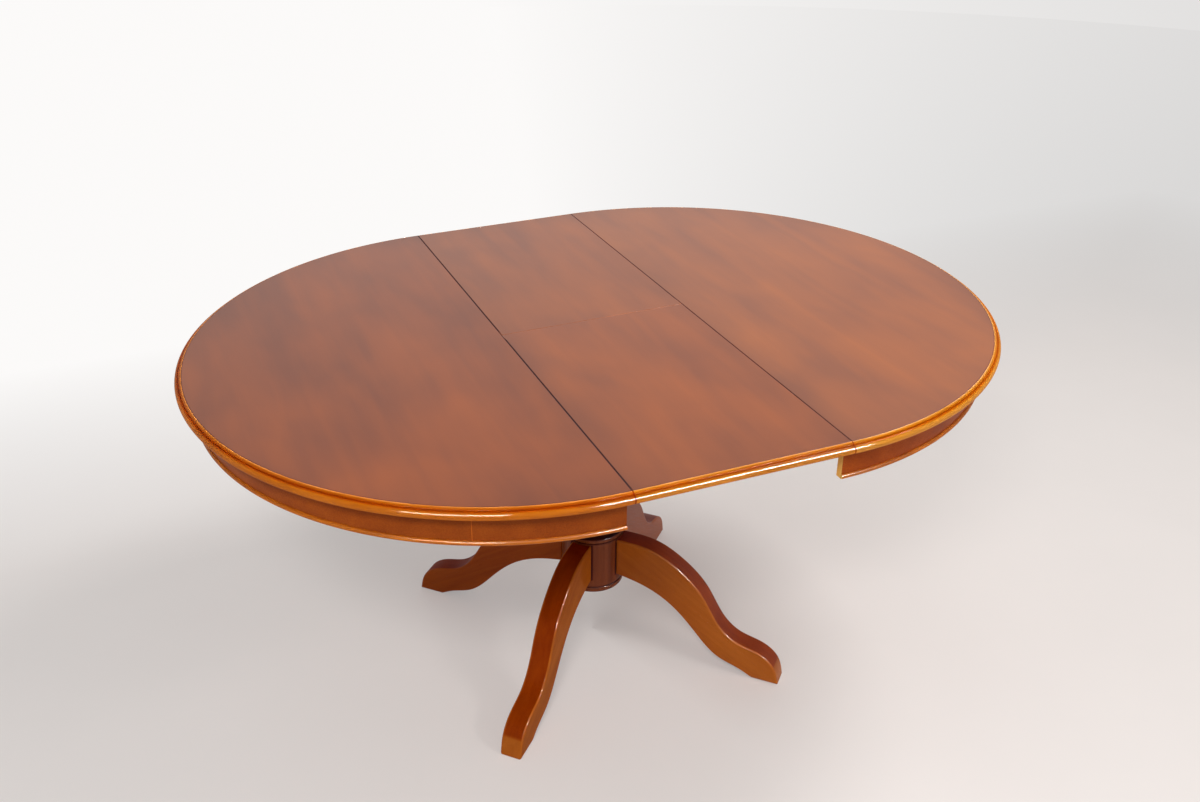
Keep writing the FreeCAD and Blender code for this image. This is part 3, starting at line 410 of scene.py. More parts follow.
def grid_faces(rows, columns, closed_rows):
    """Quads between neighbouring rows and columns; columns always close, rows only if asked."""
    row, column = np.meshgrid(np.arange(rows if closed_rows else rows - 1), np.arange(columns),
                              indexing="ij")
    next_row, next_column = (row + 1) % rows, (column + 1) % columns
    quads = np.stack((row * columns + column, row * columns + next_column,
                      next_row * columns + next_column, next_row * columns + column), -1)
    return quads.reshape(-1, 4).tolist()


def put_in_scene(name, data):
    """New object that holds the data, linked to the scene."""
    made = bpy.data.objects.new(name, data)
    bpy.context.scene.collection.objects.link(made)
    return made


def make_piece(name, place, grain, worn, finishes, body, replaced, closed_rows=False):
    """Mesh of a grid of points: columns run round a closed outline, rows along the path, and open
    rows end in flat caps. Grain, and wear with painted light and shade, go in as attributes, and
    the piece rides on its body."""
    rows, columns = place.shape[:2]
    faces = grid_faces(rows, columns, closed_rows)
    if not closed_rows:
        faces += [list(range(columns)), list(range((rows - 1) * columns, rows * columns))]
    mesh = bpy.data.meshes.new(name)
    mesh.from_pydata(place.reshape(-1, 3).tolist(), [], faces)
    shell = bmesh.new()
    shell.from_mesh(mesh)
    bmesh.ops.recalc_face_normals(shell, faces=shell.faces)
    shell.to_mesh(mesh)
    shell.free()
    mesh.attributes.new("grain", "FLOAT_VECTOR", "POINT").data.foreach_set(
        "vector", np.ascontiguousarray(grain, np.float32).ravel())
    wear = np.broadcast_to(np.asarray(worn, np.float32), (rows, columns))
    mesh.attributes.new("worn", "FLOAT", "POINT").data.foreach_set(
        "value", np.ascontiguousarray(wear).ravel())
    for finish in finishes:
        mesh.materials.append(finish)
    if len(finishes) > 1 and not closed_rows:
        for cap in mesh.polygons[-2:]:
            cap.material_index = 1
    mesh.shade_smooth()
    mesh.set_sharp_from_angle(angle=SHARP_ANGLE)
    piece = put_in_scene(name, mesh)
    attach(piece, body)
    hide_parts(*replaced)


# Materials

class Wiring:
    """Short calls that add and join the nodes of a material, or of the world."""

    def __init__(self, owner):
        owner.use_nodes = True
        self.owner = owner
        self.tree = owner.node_tree
        self.shader = self.tree.nodes.get("Principled BSDF")

    def add(self, kind, **settings):
        """New node of a kind, with its settings."""
        node = self.tree.nodes.new(kind)
        for key, value in settings.items():
            setattr(node, key, value)
        return node

    def feed(self, node, **inputs):
        """Join or set a node's inputs, by name, or by number after an i."""
        for key, value in inputs.items():
            socket = node.inputs[key] if key in node.inputs else node.inputs[int(key.strip("i"))]
            if isinstance(value, bpy.types.NodeSocket):
                self.tree.links.new(value, socket)
            else:
                socket.default_value = value
        return node

    def math(self, operation, first, second=0.0):
        """One sum on one or two values."""
        node = self.add("ShaderNodeMath", operation=operation)
        return self.feed(node, i0=first, i1=second).outputs[0]

    def total(self, *shared):
        """Sum of values, each times its share."""
        summed, *others = [self.math("MULTIPLY", value, part) for value, part in shared]
        for other in others:
            summed = self.math("ADD", summed, other)
        return summed

    def place(self, coordinates="Object"):
        """Coordinates of the shaded point."""
        return self.add("ShaderNodeTexCoord").outputs[coordinates]

    def attribute(self, name, output):
        """Attribute of the piece's mesh."""
        return self.add("ShaderNodeAttribute", attribute_name=name).outputs[output]

    def parts(self, vector):
        """X, Y and Z of a vector."""
        return self.feed(self.add("ShaderNodeSeparateXYZ"), Vector=vector).outputs

    def direction(self, where):
        """X, Y and Z of a vector brought to a length of 1."""
        node = self.add("ShaderNodeVectorMath", operation="NORMALIZE")
        return self.parts(self.feed(node, i0=where).outputs["Vector"])

    def noise(self, vector, scale, depth=3.0, rough=0.5, warp=0.0):
        """Noise with a scale for each axis."""
        stretched = self.feed(self.add("ShaderNodeMapping"), Vector=vector, Scale=scale).outputs[0]
        node = self.add("ShaderNodeTexNoise")
        self.feed(node, Vector=stretched, Scale=1.0, Detail=depth, Roughness=rough,
                  Distortion=warp)
        return node.outputs[0]

    def relief(self, height, strength, distance):
        """Normal of a surface roughened by a height."""
        node = self.add("ShaderNodeBump")
        return self.feed(node, Strength=strength, Distance=distance, Height=height).outputs[0]

    def seen(self, where):
        """1 for the eye and for views through glass, 0 for light that falls on the object. For
        reflections it is 1 behind the table, and falls in front of it and to its sides, by the
        direction of where."""
        path = self.add("ShaderNodeLightPath").outputs
        part = self.direction(where)
        sides = self.math("MULTIPLY", self.remap(part["X"], *MIRROR_LEFT),
                          self.remap(part["X"], *MIRROR_RIGHT))
        shown = self.math("MULTIPLY", self.remap(part["Y"], *MIRROR_FRONT), sides)
        mirrored = self.math("MULTIPLY", path["Is Glossy Ray"], shown)
        direct = self.math("MAXIMUM", path["Is Camera Ray"], path["Is Transmission Ray"])
        return self.math("MAXIMUM", direct, mirrored)

    def backdrop(self, where, strength):
        """Strength of the white backdrop: dimmer to the right and overhead, by the X and the Z of
        the direction of where."""
        part = self.direction(where)
        start, end, near, far = BACKDROP_RIGHT
        sideways = self.remap(part["X"], start, end, near * strength, far * strength)
        return self.math("MULTIPLY", sideways, self.remap(part["Z"], *BACKDROP_OVERHEAD))

    def remap(self, value, low, high, to_low, to_high):
        """Value carried evenly from one range to another, and held at its ends."""
        node = self.add("ShaderNodeMapRange")
        return self.feed(node, Value=value, i1=low, i2=high, i3=to_low, i4=to_high).outputs[0]

    def blend(self, factor, first, second):
        """Mix of two colours."""
        node = self.add("ShaderNodeMix", data_type="RGBA")
        return self.feed(node, i0=factor, i6=first, i7=second).outputs[2]

    def ramp(self, value, stops):
        """Colour by a value, from stops of (place, tone)."""
        node = self.add("ShaderNodeValToRGB")
        band = node.color_ramp
        while len(band.elements) < len(stops):
            band.elements.new(1.0)
        for element, (place, tone) in zip(band.elements, stops):
            element.position = place
            element.color = (*tone, 1.0)
        return self.feed(node, Fac=value).outputs[0]


def wood_vector(wiring, along):
    """Coordinates with the grain on X: the piece's attribute, or its place turned to the grain."""
    if along == "attribute":
        return wiring.attribute("grain", "Vector")
    turns = {"x": (0, 0, 0), "y": (0, 0, -math.pi / 2), "z": (0, math.pi / 2, 0)}
    node = wiring.add("ShaderNodeMapping")
    return wiring.feed(node, Vector=wiring.place(), Rotation=turns[along]).outputs[0]


def wood(name, stained, along="attribute", gloss=0.30, fleck=0.06, sheen=0.3, coat=0.0,
         polish=0.12, figure=(1.3, 30, 30), cloud=(2.5, 7, 7), cloud_share=0.35, fibre_share=0.2,
         pore=0.55, shift=(0, 0, 0), wear=0.5, bump=0.10, depth=1.0, bare=None, smoke=None,
         lines=None):
    """Stained wood: long streaks, cloudy mottle, fine fibres and short dark pores. Gloss is its
    roughness, which the fibres vary by fleck, sheen its reflection, and coat a layer of lacquer
    with the roughness of polish. The tone is raised to the power of the stain's depth, and further
    where wear is below 0, for grime and for painted shade, where the lacquer is dull as well; wear
    above 0 shows the bare tone, for wear and for painted highlights. The dark overlay is a share of
    dark stain laid over the grain: smoky stain on the top and painted shade on the left apron.
    Lines are a share of the bare tone."""
    dark, mid, light = stained
    wiring = Wiring(bpy.data.materials.new(name))
    moved = wiring.add("ShaderNodeVectorMath", operation="ADD")
    vector = wiring.feed(moved, i0=wood_vector(wiring, along), i1=shift).outputs[0]
    streaks = wiring.noise(vector, figure, depth=4.0, rough=0.55, warp=0.5)
    clouds = wiring.noise(vector, cloud, depth=2.0, warp=0.3)
    fibres = wiring.noise(vector, FIBRE_SCALE, rough=0.6)
    pores = wiring.noise(vector, PORE_SCALE, depth=2.0)
    tone = wiring.total((streaks, 1 - cloud_share - fibre_share), (clouds, cloud_share),
                        (fibres, fibre_share))
    base = wiring.ramp(tone, tuple(zip(TONE_STOPS, (dark, mid, light))))
    pits = wiring.remap(pores, *PORE_BAND, 0.0, pore)
    pit_tone = (*(PIT_SHARE * np.array(dark)), 1.0)
    base = wiring.blend(pits, base, pit_tone)
    if smoke:
        base = wiring.blend(smoke(wiring, clouds), base, pit_tone)
    pale = (*(bare or np.minimum(BARE_SHARE * np.array(light), 1.0)), 1.0)
    if lines:
        base = wiring.blend(lines(wiring), base, pale)
    worn = wiring.attribute("worn", "Fac")
    rubbed = wiring.math("MULTIPLY", wiring.math("MAXIMUM", worn),
                         wiring.remap(clouds, *CLOUD_BAND, LEAST_WEAR_SHARE * wear, wear))
    base = wiring.blend(rubbed, base, pale)
    grimed = wiring.math("MAXIMUM", wiring.math("MULTIPLY", worn, -1.0))
    deepened = wiring.remap(grimed, 0.0, 1.0, depth, depth + GRIME_DEPTH)
    base = wiring.feed(wiring.add("ShaderNodeGamma"), Color=base, Gamma=deepened).outputs[0]
    rough = wiring.math("ADD", wiring.remap(fibres, *EVEN_BAND, gloss - fleck, gloss + fleck),
                        wiring.math("MULTIPLY", grimed, GRIME_ROUGHNESS))
    height = wiring.math("SUBTRACT", wiring.math("MULTIPLY", fibres, FIBRE_RELIEF_SHARE), pits)
    wiring.feed(wiring.shader, **{"Base Color": base, "Roughness": rough,
                                  "Normal": wiring.relief(height, bump, GRAIN_RELIEF),
                                  "Specular IOR Level": sheen})
    if coat:
        layer = wiring.remap(grimed, 0.0, DULL_GRIME, coat, DULL_COAT_SHARE * coat)
        wiring.feed(wiring.shader, **{"Coat Weight": layer, "Coat Roughness": polish})
    return wiring.owner


def veneer(sheet, smoke):
    """Veneer of one sheet of the top, with its smoky stain laid on by smoke."""
    shift, depth = VENEER_CUTS[sheet]
    return wood(f"veneer_{sheet}", stain("veneer"), gloss=0.29, fleck=0.01, sheen=0.60,
                figure=(1.6, 16, 16), cloud=(4.0, 9, 9), cloud_share=0.52, fibre_share=0.06,
                pore=0.08, shift=shift, wear=0.6, bump=0.006, depth=depth, smoke=smoke)


def half_smoke(wiring, clouds):
    """Stain of a half top, heavier towards its rim and its seam: the gaps are R - |p| and
    |x| - seam."""
    part = wiring.parts(wiring.place())
    along = wiring.math("SUBTRACT", wiring.math("ABSOLUTE", part["X"]), float(SEAM))
    square = wiring.math("ADD", wiring.math("POWER", along, 2.0),
                         wiring.math("POWER", part["Y"], 2.0))
    rim = wiring.math("SUBTRACT", float(FIELD_RADIUS), wiring.math("SQRT", square))
    return smoke_share(wiring, clouds, (rim, along), HALF_SMOKE_REACH)


def leaf_smoke(wiring, clouds):
    """Stain of the leaf, heavier towards its ends and its seams."""
    part = wiring.parts(wiring.place())
    along, rim = [wiring.math("SUBTRACT", float(edge), wiring.math("ABSOLUTE", part[axis]))
                  for edge, axis in ((LEAF_HIGH[0], "X"), (FIELD_RADIUS, "Y"))]
    return smoke_share(wiring, clouds, (rim, along), LEAF_SMOKE_REACH)


def smoke_share(wiring, clouds, gaps, reaches):
    """Share of stain from both edges, broken up by the clouds: each is 1 at its edge, and falls to
    0 where the gap to the edge is its reach."""
    near = [wiring.remap(gap, 0.0, reach, 1.0, 0.0) for gap, reach in zip(gaps, reaches)]
    fallen = [wiring.math("POWER", edge, SMOKE_FALL) for edge in near]
    both = wiring.total(*zip(fallen, SMOKE_SHARES))
    return wiring.math("MULTIPLY", both, wiring.remap(clouds, *SMOKE_BREAK))


def veneer_joint(wiring):
    """Pale hairline where two sheets of the left apron's veneer meet: a share of the bare tone by
    the distance |y - joint| along the apron."""
    along = wiring.parts(wiring.attribute("grain", "Vector"))["Y"]
    away = wiring.math("ABSOLUTE", wiring.math("SUBTRACT", along, APRON_JOINT))
    return wiring.remap(away, 0.5 * APRON_JOINT_WIDTH, APRON_JOINT_WIDTH, APRON_JOINT_SHARE, 0.0)


def apron_smoke(wiring, _clouds):
    """Painted shade on the left apron, heavier along it towards its front end."""
    return wiring.remap(wiring.parts(wiring.attribute("grain", "Vector"))["Y"], *APRON_SMOKE)


def plated_metal(name, tone, rough, speckle=350.0, dark_share=0.75, smoother=0.08, rougher=0.12,
                 bump=0.08):
    """Plated or turned metal with fine mottling in its tone and its gloss."""
    wiring = Wiring(bpy.data.materials.new(name))
    mottle = wiring.noise(wiring.place(), (speckle, speckle, speckle), rough=0.6)
    dark = tuple(dark_share * np.array(tone))
    shade = wiring.ramp(mottle, tuple(zip(EVEN_BAND, (dark, tone))))
    gloss = wiring.remap(mottle, *EVEN_BAND, rough - smoother, rough + rougher)
    wiring.feed(wiring.shader, **{"Base Color": shade, "Roughness": gloss, "Metallic": 1.0,
                                  "Normal": wiring.relief(mottle, bump, FINE_RELIEF)})
    return wiring.owner


def moulded_nylon(name, dark, light, speckle=220.0, rough=0.5, bump=0.1):
    """Off-white nylon with a faint mould grain."""
    wiring = Wiring(bpy.data.materials.new(name))
    mottle = wiring.noise(wiring.place(), (speckle, speckle, speckle), depth=2.0)
    shade = wiring.ramp(mottle, tuple(zip(EVEN_BAND, (dark, light))))
    wiring.feed(wiring.shader, **{"Base Color": shade, "Roughness": rough,
                                  "Normal": wiring.relief(mottle, bump, FINE_RELIEF)})
    return wiring.owner


def paint_nodes(finish, *nodes):
    """Give nodes of the frame a finish in place of their plain one."""
    for node in nodes:
        slots = frame["nodes"][node].data.materials
        slots.clear()
        slots.append(finish)


# Boards and edges

def eased_levels(low, high, ease, steps=4, inner_share=3):
    """Inset and height of the outlines that round a board's lower and upper edges."""
    turn = np.linspace(0, math.pi / 2, steps)
    inset = ease * (1 - np.sin(turn))
    rise = ease * (1 - np.cos(turn))
    inner = ease * inner_share
    return np.concatenate((((inner, low),), np.stack((inset, low + rise), -1),
                           np.stack((inset[::-1], high - rise[::-1]), -1), ((inner, high),)))


def half_disc(inset, steps=181, seam_steps=24):
    """Half circle about the seam's middle, closed along the seam, each side moved in by inset."""
    radius = FIELD_RADIUS - inset
    reach = math.acos(inset / radius)
    angle = np.linspace(-reach, reach, steps)
    bow = np.stack((SEAM + radius * np.cos(angle), radius * np.sin(angle)), -1)
    seam_end = radius * math.sin(reach)
    chord = np.linspace(seam_end, -seam_end, seam_steps + 2)[1:-1]
    return np.concatenate((bow, np.stack((np.full(seam_steps, SEAM + inset), chord), -1)))


def leaf_outline(inset, steps=24):
    """Rectangle of one leaf half, with every side moved in by inset."""
    low, high = LEAF_LOW[:2] + inset, LEAF_HIGH[:2] - inset
    side = np.linspace(0, 1, steps, endpoint=False)
    corners = np.array(((low[0], low[1]), (high[0], low[1]), (high[0], high[1]), (low[0], high[1])))
    ends = np.roll(corners, -1, 0)
    return (corners[:, None] + (ends - corners)[:, None] * side[None, :, None]).reshape(-1, 2)


def make_board(name, outline, edges, low, turn, finish, body, node):
    """Flat board: its outline stacked over the eased levels, with the grain along Y. edges gives
    the wear of each stretch of the outline's rim."""
    ease = detail().panel_ease
    levels = eased_levels(low, TOP, ease)
    flat = np.stack([outline(inset) for inset in levels[:, 0]])
    place = spread(turn * flat[..., 0], turn * flat[..., 1], levels[:, 1][:, None])
    worn = (levels[:, 0] < 2 * ease)[:, None] * edges[None]
    make_piece(name, place, place[..., (1, 0, 2)], worn, (finish,), body, (node,))


def edge_outline():
    """Section of the top's edge: land, bevel, quirk and bullnose, as (radius, height)."""
    size = detail()
    quirk = TOP - size.quirk_drop
    nose_foot = TOP_RADIUS - size.nose_depth
    shelf = nose_foot - size.quirk_width
    nose_steps, bevel_steps = 22, 6
    nose = arc((nose_foot, UNDER), (nose_foot, quirk), size.nose_depth, nose_steps)
    ease = size.moulding_ease
    bevel_ease, land_ease = 0.85 * size.bevel_land, 0.1 * size.bevel_land
    corners = rounded(((shelf, quirk), (shelf, TOP - size.bevel_drop),
                       (FIELD_RADIUS + size.bevel_land, TOP), (FIELD_RADIUS, TOP),
                       (FIELD_RADIUS, UNDER)),
                      (ease, ease, bevel_ease, land_ease, ease))
    shelf_end = 2 * EASE_STEPS
    foot, head = corners[shelf_end - 1], corners[shelf_end]
    bevel = foot + (head - foot) * np.linspace(0, 1, bevel_steps)[1:-1, None]
    return np.concatenate((nose, corners[:shelf_end], bevel, corners[shelf_end:]))


def straight_moulding(outline, turn, steps=24):
    """Edge section carried straight along the leaf: the point is (x, r, z)."""
    along = with_ends(LEAF_LOW[0], LEAF_HIGH[0], steps, detail().joint_line)
    across, height = outline[None, :, 0], outline[None, :, 1]
    grain = spread(along, run_length(outline)[None], height)
    return spread(turn * along, turn * across, height), grain


def edge_wear(outline):
    """Wear and painted light of the edge section: the bevel's upper arris bare with wear and a
    painted highlight, a little wear on the nose, and painted shade towards the quirk."""
    arris_drop, arris_fade = 0.0008, 0.0005
    nose_share, nose_width, nose_fade = 0.15, 0.004, 0.003
    quirk_share, quirk_reach = 0.36, 0.004
    radius, height = outline[:, 0], outline[:, 1]
    depth = detail().nose_depth
    arris = fade(height, TOP - arris_drop, arris_fade)
    nose = nose_share * fade(radius, TOP_RADIUS - nose_width, nose_fade)
    beside = 1 - fade(np.abs(radius - (TOP_RADIUS - depth)), 0, quirk_reach)
    return np.maximum(arris, nose) - quirk_share * beside * (height > UNDER + depth)


# Operators, one for each group of pieces and one for the stage

class TABLE_OT_half_tops(bpy.types.Operator):
    """Veneered half-round panels of the top"""
    bl_idname = "table.half_tops"
    bl_label = "Half tops"

    def execute(self, context):
        for side in ("right", "left"):
            edges = np.where(half_disc(0.0)[:, 0] > SEAM + HAIR, RIM_WEAR, SEAM_WEAR[side])
            make_board(f"half_top_{side}", half_disc, edges, UNDER, TURNS[side],
                       veneer(side, half_smoke), f"{side}_half", f"top_panel_{side}")
        return {"FINISHED"}


class TABLE_OT_leaf(bpy.types.Operator):
    """Veneered halves of the folding leaf"""
    bl_idname = "table.leaf"
    bl_label = "Leaf"

    def execute(self, context):
        rim = leaf_outline(0.0)
        for end in ("rear", "front"):
            seams = np.where(TURNS[end] * rim[:, 0] > 0, SEAM_WEAR["right"], SEAM_WEAR["left"])
            edges = np.where(rim[:, 1] > LEAF_HIGH[1] - HAIR, RIM_WEAR, seams)
            edges = np.where(rim[:, 1] < LEAF_LOW[1] + HAIR, FOLD_WEAR, edges)
            make_board(f"leaf_board_{end}", leaf_outline, edges, LEAF_LOW[2], TURNS[end],
                       veneer(f"leaf_{end}", leaf_smoke), f"leaf_{end}", f"leaf_panel_{end}")
        return {"FINISHED"}


class TABLE_OT_edge_mouldings(bpy.types.Operator):
    """Moulded strips round the half tops and along the leaf"""
    bl_idname = "table.edge_mouldings"
    bl_label = "Edge mouldings"
    steps = 241

    def execute(self, context):
        looks = dict(gloss=0.40, fleck=0.02, sheen=0.0, coat=0.24, polish=0.08, figure=(6, 80, 80),
                     cloud=(9, 14, 14), fibre_share=0.08, pore=0.10, wear=0.8, bump=0.012,
                     bare=tuple(tones().edge_bare))
        # Each side's stain depth paints light on the right strip and shade on the left
        finishes = {name: wood(f"honey_moulding_{name}", stain("edge"), depth=depth, **looks)
                    for name, depth in MOULDING_DEPTHS.items()}
        outline = edge_outline()
        # Wear with painted light: a highlight on the arris and shade in the quirk
        wear = edge_wear(outline)
        for side in ("right", "left"):
            place, grain = half_turn(outline, TURNS[side], self.steps)
            make_piece(f"edge_strip_{side}", place, grain, joint_wear(wear, len(place)),
                       (finishes[side],), f"{side}_half", (f"edge_moulding_{side}",))
        for end in ("rear", "front"):
            place, grain = straight_moulding(outline, TURNS[end])
            make_piece(f"leaf_strip_{end}", place, grain, joint_wear(wear, len(place)),
                       (finishes["leaf"],), f"leaf_{end}", (f"leaf_moulding_{end}",))
        return {"FINISHED"}


class TABLE_OT_aprons(bpy.types.Operator):
    """Half-round aprons, raw at their ends, with the bead along their lower edge"""
    bl_idname = "table.aprons"
    bl_label = "Aprons"
    bead_steps = 16

    def thickness(self):
        """Thickness of the apron, read off the end of its node at the seam."""
        vertices = frame["nodes"]["apron_right"].data.vertices
        flat = np.empty(3 * len(vertices), np.float32)
        vertices.foreach_get("co", flat)
        points = flat.reshape(-1, 3).astype(float)
        end = points[points[:, 0] < SEAM + HAIR / 2]
        return np.ptp(np.abs(end[:, 1]))

    def execute(self, context):
        looks = dict(gloss=0.40, sheen=0.05, coat=0.06, figure=(4, 420, 420), cloud=(6, 22, 22))
        faces = {"right": wood("apron_veneer_right", stain("apron"), **looks),
                 # The left apron's dark overlay is painted shade
                 "left": wood("apron_veneer_left", stain("apron"), depth=0.93, smoke=apron_smoke,
                              lines=veneer_joint, **looks)}
        end = wood("apron_end_grain", stain("raw"), along="z", gloss=0.6, sheen=0.2,
                   figure=(4, 420, 30), cloud=(10, 60, 60), bump=0.3)
        strip = wood("bead_wood", stain("bead"), gloss=0.40, fleck=0.02, sheen=0.05, coat=0.2,
                     polish=0.10, figure=(14, 160, 160), cloud=(9, 14, 14), fibre_share=0.08,
                     pore=0.10, wear=0.35, bump=0.012)
        outer, foot, bead_top = APRON_HIGH[1], APRON_LOW[2], BEAD_HIGH[2]
        inner = outer - self.thickness()
        outline = rounded(((inner, foot), (outer, foot), (outer, UNDER), (inner, UNDER)),
                          detail().apron_ease)
        bow = arc((outer, foot), (outer, bead_top), BEAD_HIGH[1] - outer, self.bead_steps)
        bead = np.concatenate((bow, ((outer - HAIR, (foot + bead_top) / 2),)))
        for side in ("right", "left"):
            place, grain = half_turn(outline, TURNS[side])
            make_piece(f"apron_face_{side}", place, grain[..., (2, 0, 1)], 0.0, (faces[side], end),
                       f"{side}_half", (f"apron_{side}",))
            place, grain = half_turn(bead, TURNS[side])
            make_piece(f"apron_beading_{side}", place, grain, BEAD_WEAR, (strip, end),
                       f"{side}_half", (f"apron_bead_{side}",))
        return {"FINISHED"}


class TABLE_OT_legs(bpy.types.Operator):
    """Four sabre legs with eased edges"""
    bl_idname = "table.legs"
    bl_label = "Legs"
    upper_steps, sole_steps, lower_steps, root_steps, ease_steps = 110, 12, 90, 16, 7
    flat_share = 1.5
    # Arrises: wear and a painted highlight
    arris_wear, arris_middle, arris_spread = 0.5, 0.35, 0.3
    # Toe: wear and painted light on its end face
    toe_start, toe_span = 0.950, 0.025
    # Curved faces darker, and painted shade at the root
    root_span, root_grime, curve_grime = 0.11, 0.35, 0.30
    grain_step = (2.3, 1.1, 0.0)

    def stretches(self):
        """Smooth stretches of a leg's side view from corner to corner, as (distance from the
        column, height): upper curve with the toe, sole, lower curve and root."""
        size = detail()
        scale = np.array((size.leg_reach - size.leg_root, size.leg_top - size.leg_foot))
        start = np.array((size.leg_root, size.leg_foot))
        heel = np.array((size.leg_reach - size.sole_length, size.leg_foot))
        upper = spline(start + np.array(LEG_UPPER_SHARES) * scale, self.upper_steps)
        lower = spline(np.vstack((start + np.array(LEG_LOWER_SHARES) * scale, heel)),
                       self.lower_steps)[::-1]
        sole = np.linspace(upper[-1], heel, self.sole_steps)
        root = np.linspace(lower[-1], upper[0], self.root_steps)
        return upper, sole, lower, root

    def moved_in(self, points, inset, trims):
        """Stretch moved in along its normals by each inset, and cut short at its two ends by the
        inset times the tangent of half the corner's turn, so that neighbours meet in a mitre."""
        run = run_length(points)
        tangent = np.gradient(points, run, axis=0)
        normal = np.stack((-tangent[:, 1], tangent[:, 0]), -1)
        normal /= np.linalg.norm(normal, axis=1, keepdims=True)
        depth = inset[:, None]
        part = np.linspace(0, 1, len(points))[None]
        along = depth * trims[0] + (run[-1] - depth * (trims[0] + trims[1])) * part
        return np.stack([np.interp(along, run, points[:, axis])
                         - depth * np.interp(along, run, normal[:, axis]) for axis in (0, 1)], -1)

    def grid(self):
        """Side view moved in by a(1 - sin p) while the side rises by a(1 - cos p), so a quarter
        round of radius a eases both long edges. The arrises carry wear and a painted highlight, the
        toe wear and painted light on its end face, the rest of the curved faces are darker, and
        painted shade is added there most at the root."""
        size = detail()
        turn = np.linspace(0, math.pi / 2, self.ease_steps)
        inset = size.leg_arris * (1 - np.sin(turn))
        rise = size.leg_arris * (1 - np.cos(turn)) - size.leg_thickness / 2
        flat_inset = (self.flat_share * size.leg_arris,)
        inset = np.concatenate((flat_inset, inset, inset[::-1], flat_inset))
        side = np.concatenate(((rise[0],), rise, -rise[::-1], (-rise[0],)))
        lines = self.stretches()
        leave = [line[-1] - line[-2] for line in lines]
        enter = [line[1] - line[0] for line in lines]
        turns = [math.atan2(a[1] * b[0] - a[0] * b[1], a @ b)
                 for a, b in zip(leave, enter[1:] + enter[:1])]
        trims = [math.tan(angle / 2) for angle in turns]
        flat = np.concatenate([self.moved_in(line, inset, (trims[count - 1], trims[count]))
                               for count, line in enumerate(lines)], 1)
        across = np.broadcast_to(side[:, None], flat.shape[:2])
        off_arris = (inset / size.leg_arris - self.arris_middle) / self.arris_spread
        arris = self.arris_wear * np.exp(-off_arris ** 2)[:, None]
        reach = flat[:1, :, 0]
        toe = fade(reach / size.leg_reach, self.toe_start, self.toe_span)
        root = (1 - fade(reach, size.leg_root, self.root_span)) ** 2
        curve = toe - self.curve_grime - self.root_grime * root
        return flat, across, np.where(inset[:, None] > 0, arris, curve)

    def execute(self, context):
        flat, across, worn = self.grid()
        reach, height = flat[..., 0], flat[..., 1]
        slope = math.atan2(detail().leg_top, detail().leg_reach)
        for count, (name, turn) in enumerate(LEG_TURNS.items()):
            finish = wood(f"leg_wood_{name}", stain("leg"), gloss=0.34, sheen=LEG_SHEENS[name],
                          coat=0.16, polish=0.08, figure=(2.5, 60, 60), cloud=(4, 12, 12),
                          shift=tuple(count * np.array(self.grain_step)),
                          depth=LEG_DEPTHS[name])
            swing = math.radians(turn)
            place = np.stack((reach * math.cos(swing) - across * math.sin(swing),
                              reach * math.sin(swing) + across * math.cos(swing), height), -1)
            grain = np.stack((reach * math.cos(slope) - height * math.sin(slope),
                              reach * math.sin(slope) + height * math.cos(slope), across), -1)
            make_piece(f"sabre_leg_{name}", place, grain, worn, (finish,), "base", (f"leg_{name}",))
        return {"FINISHED"}


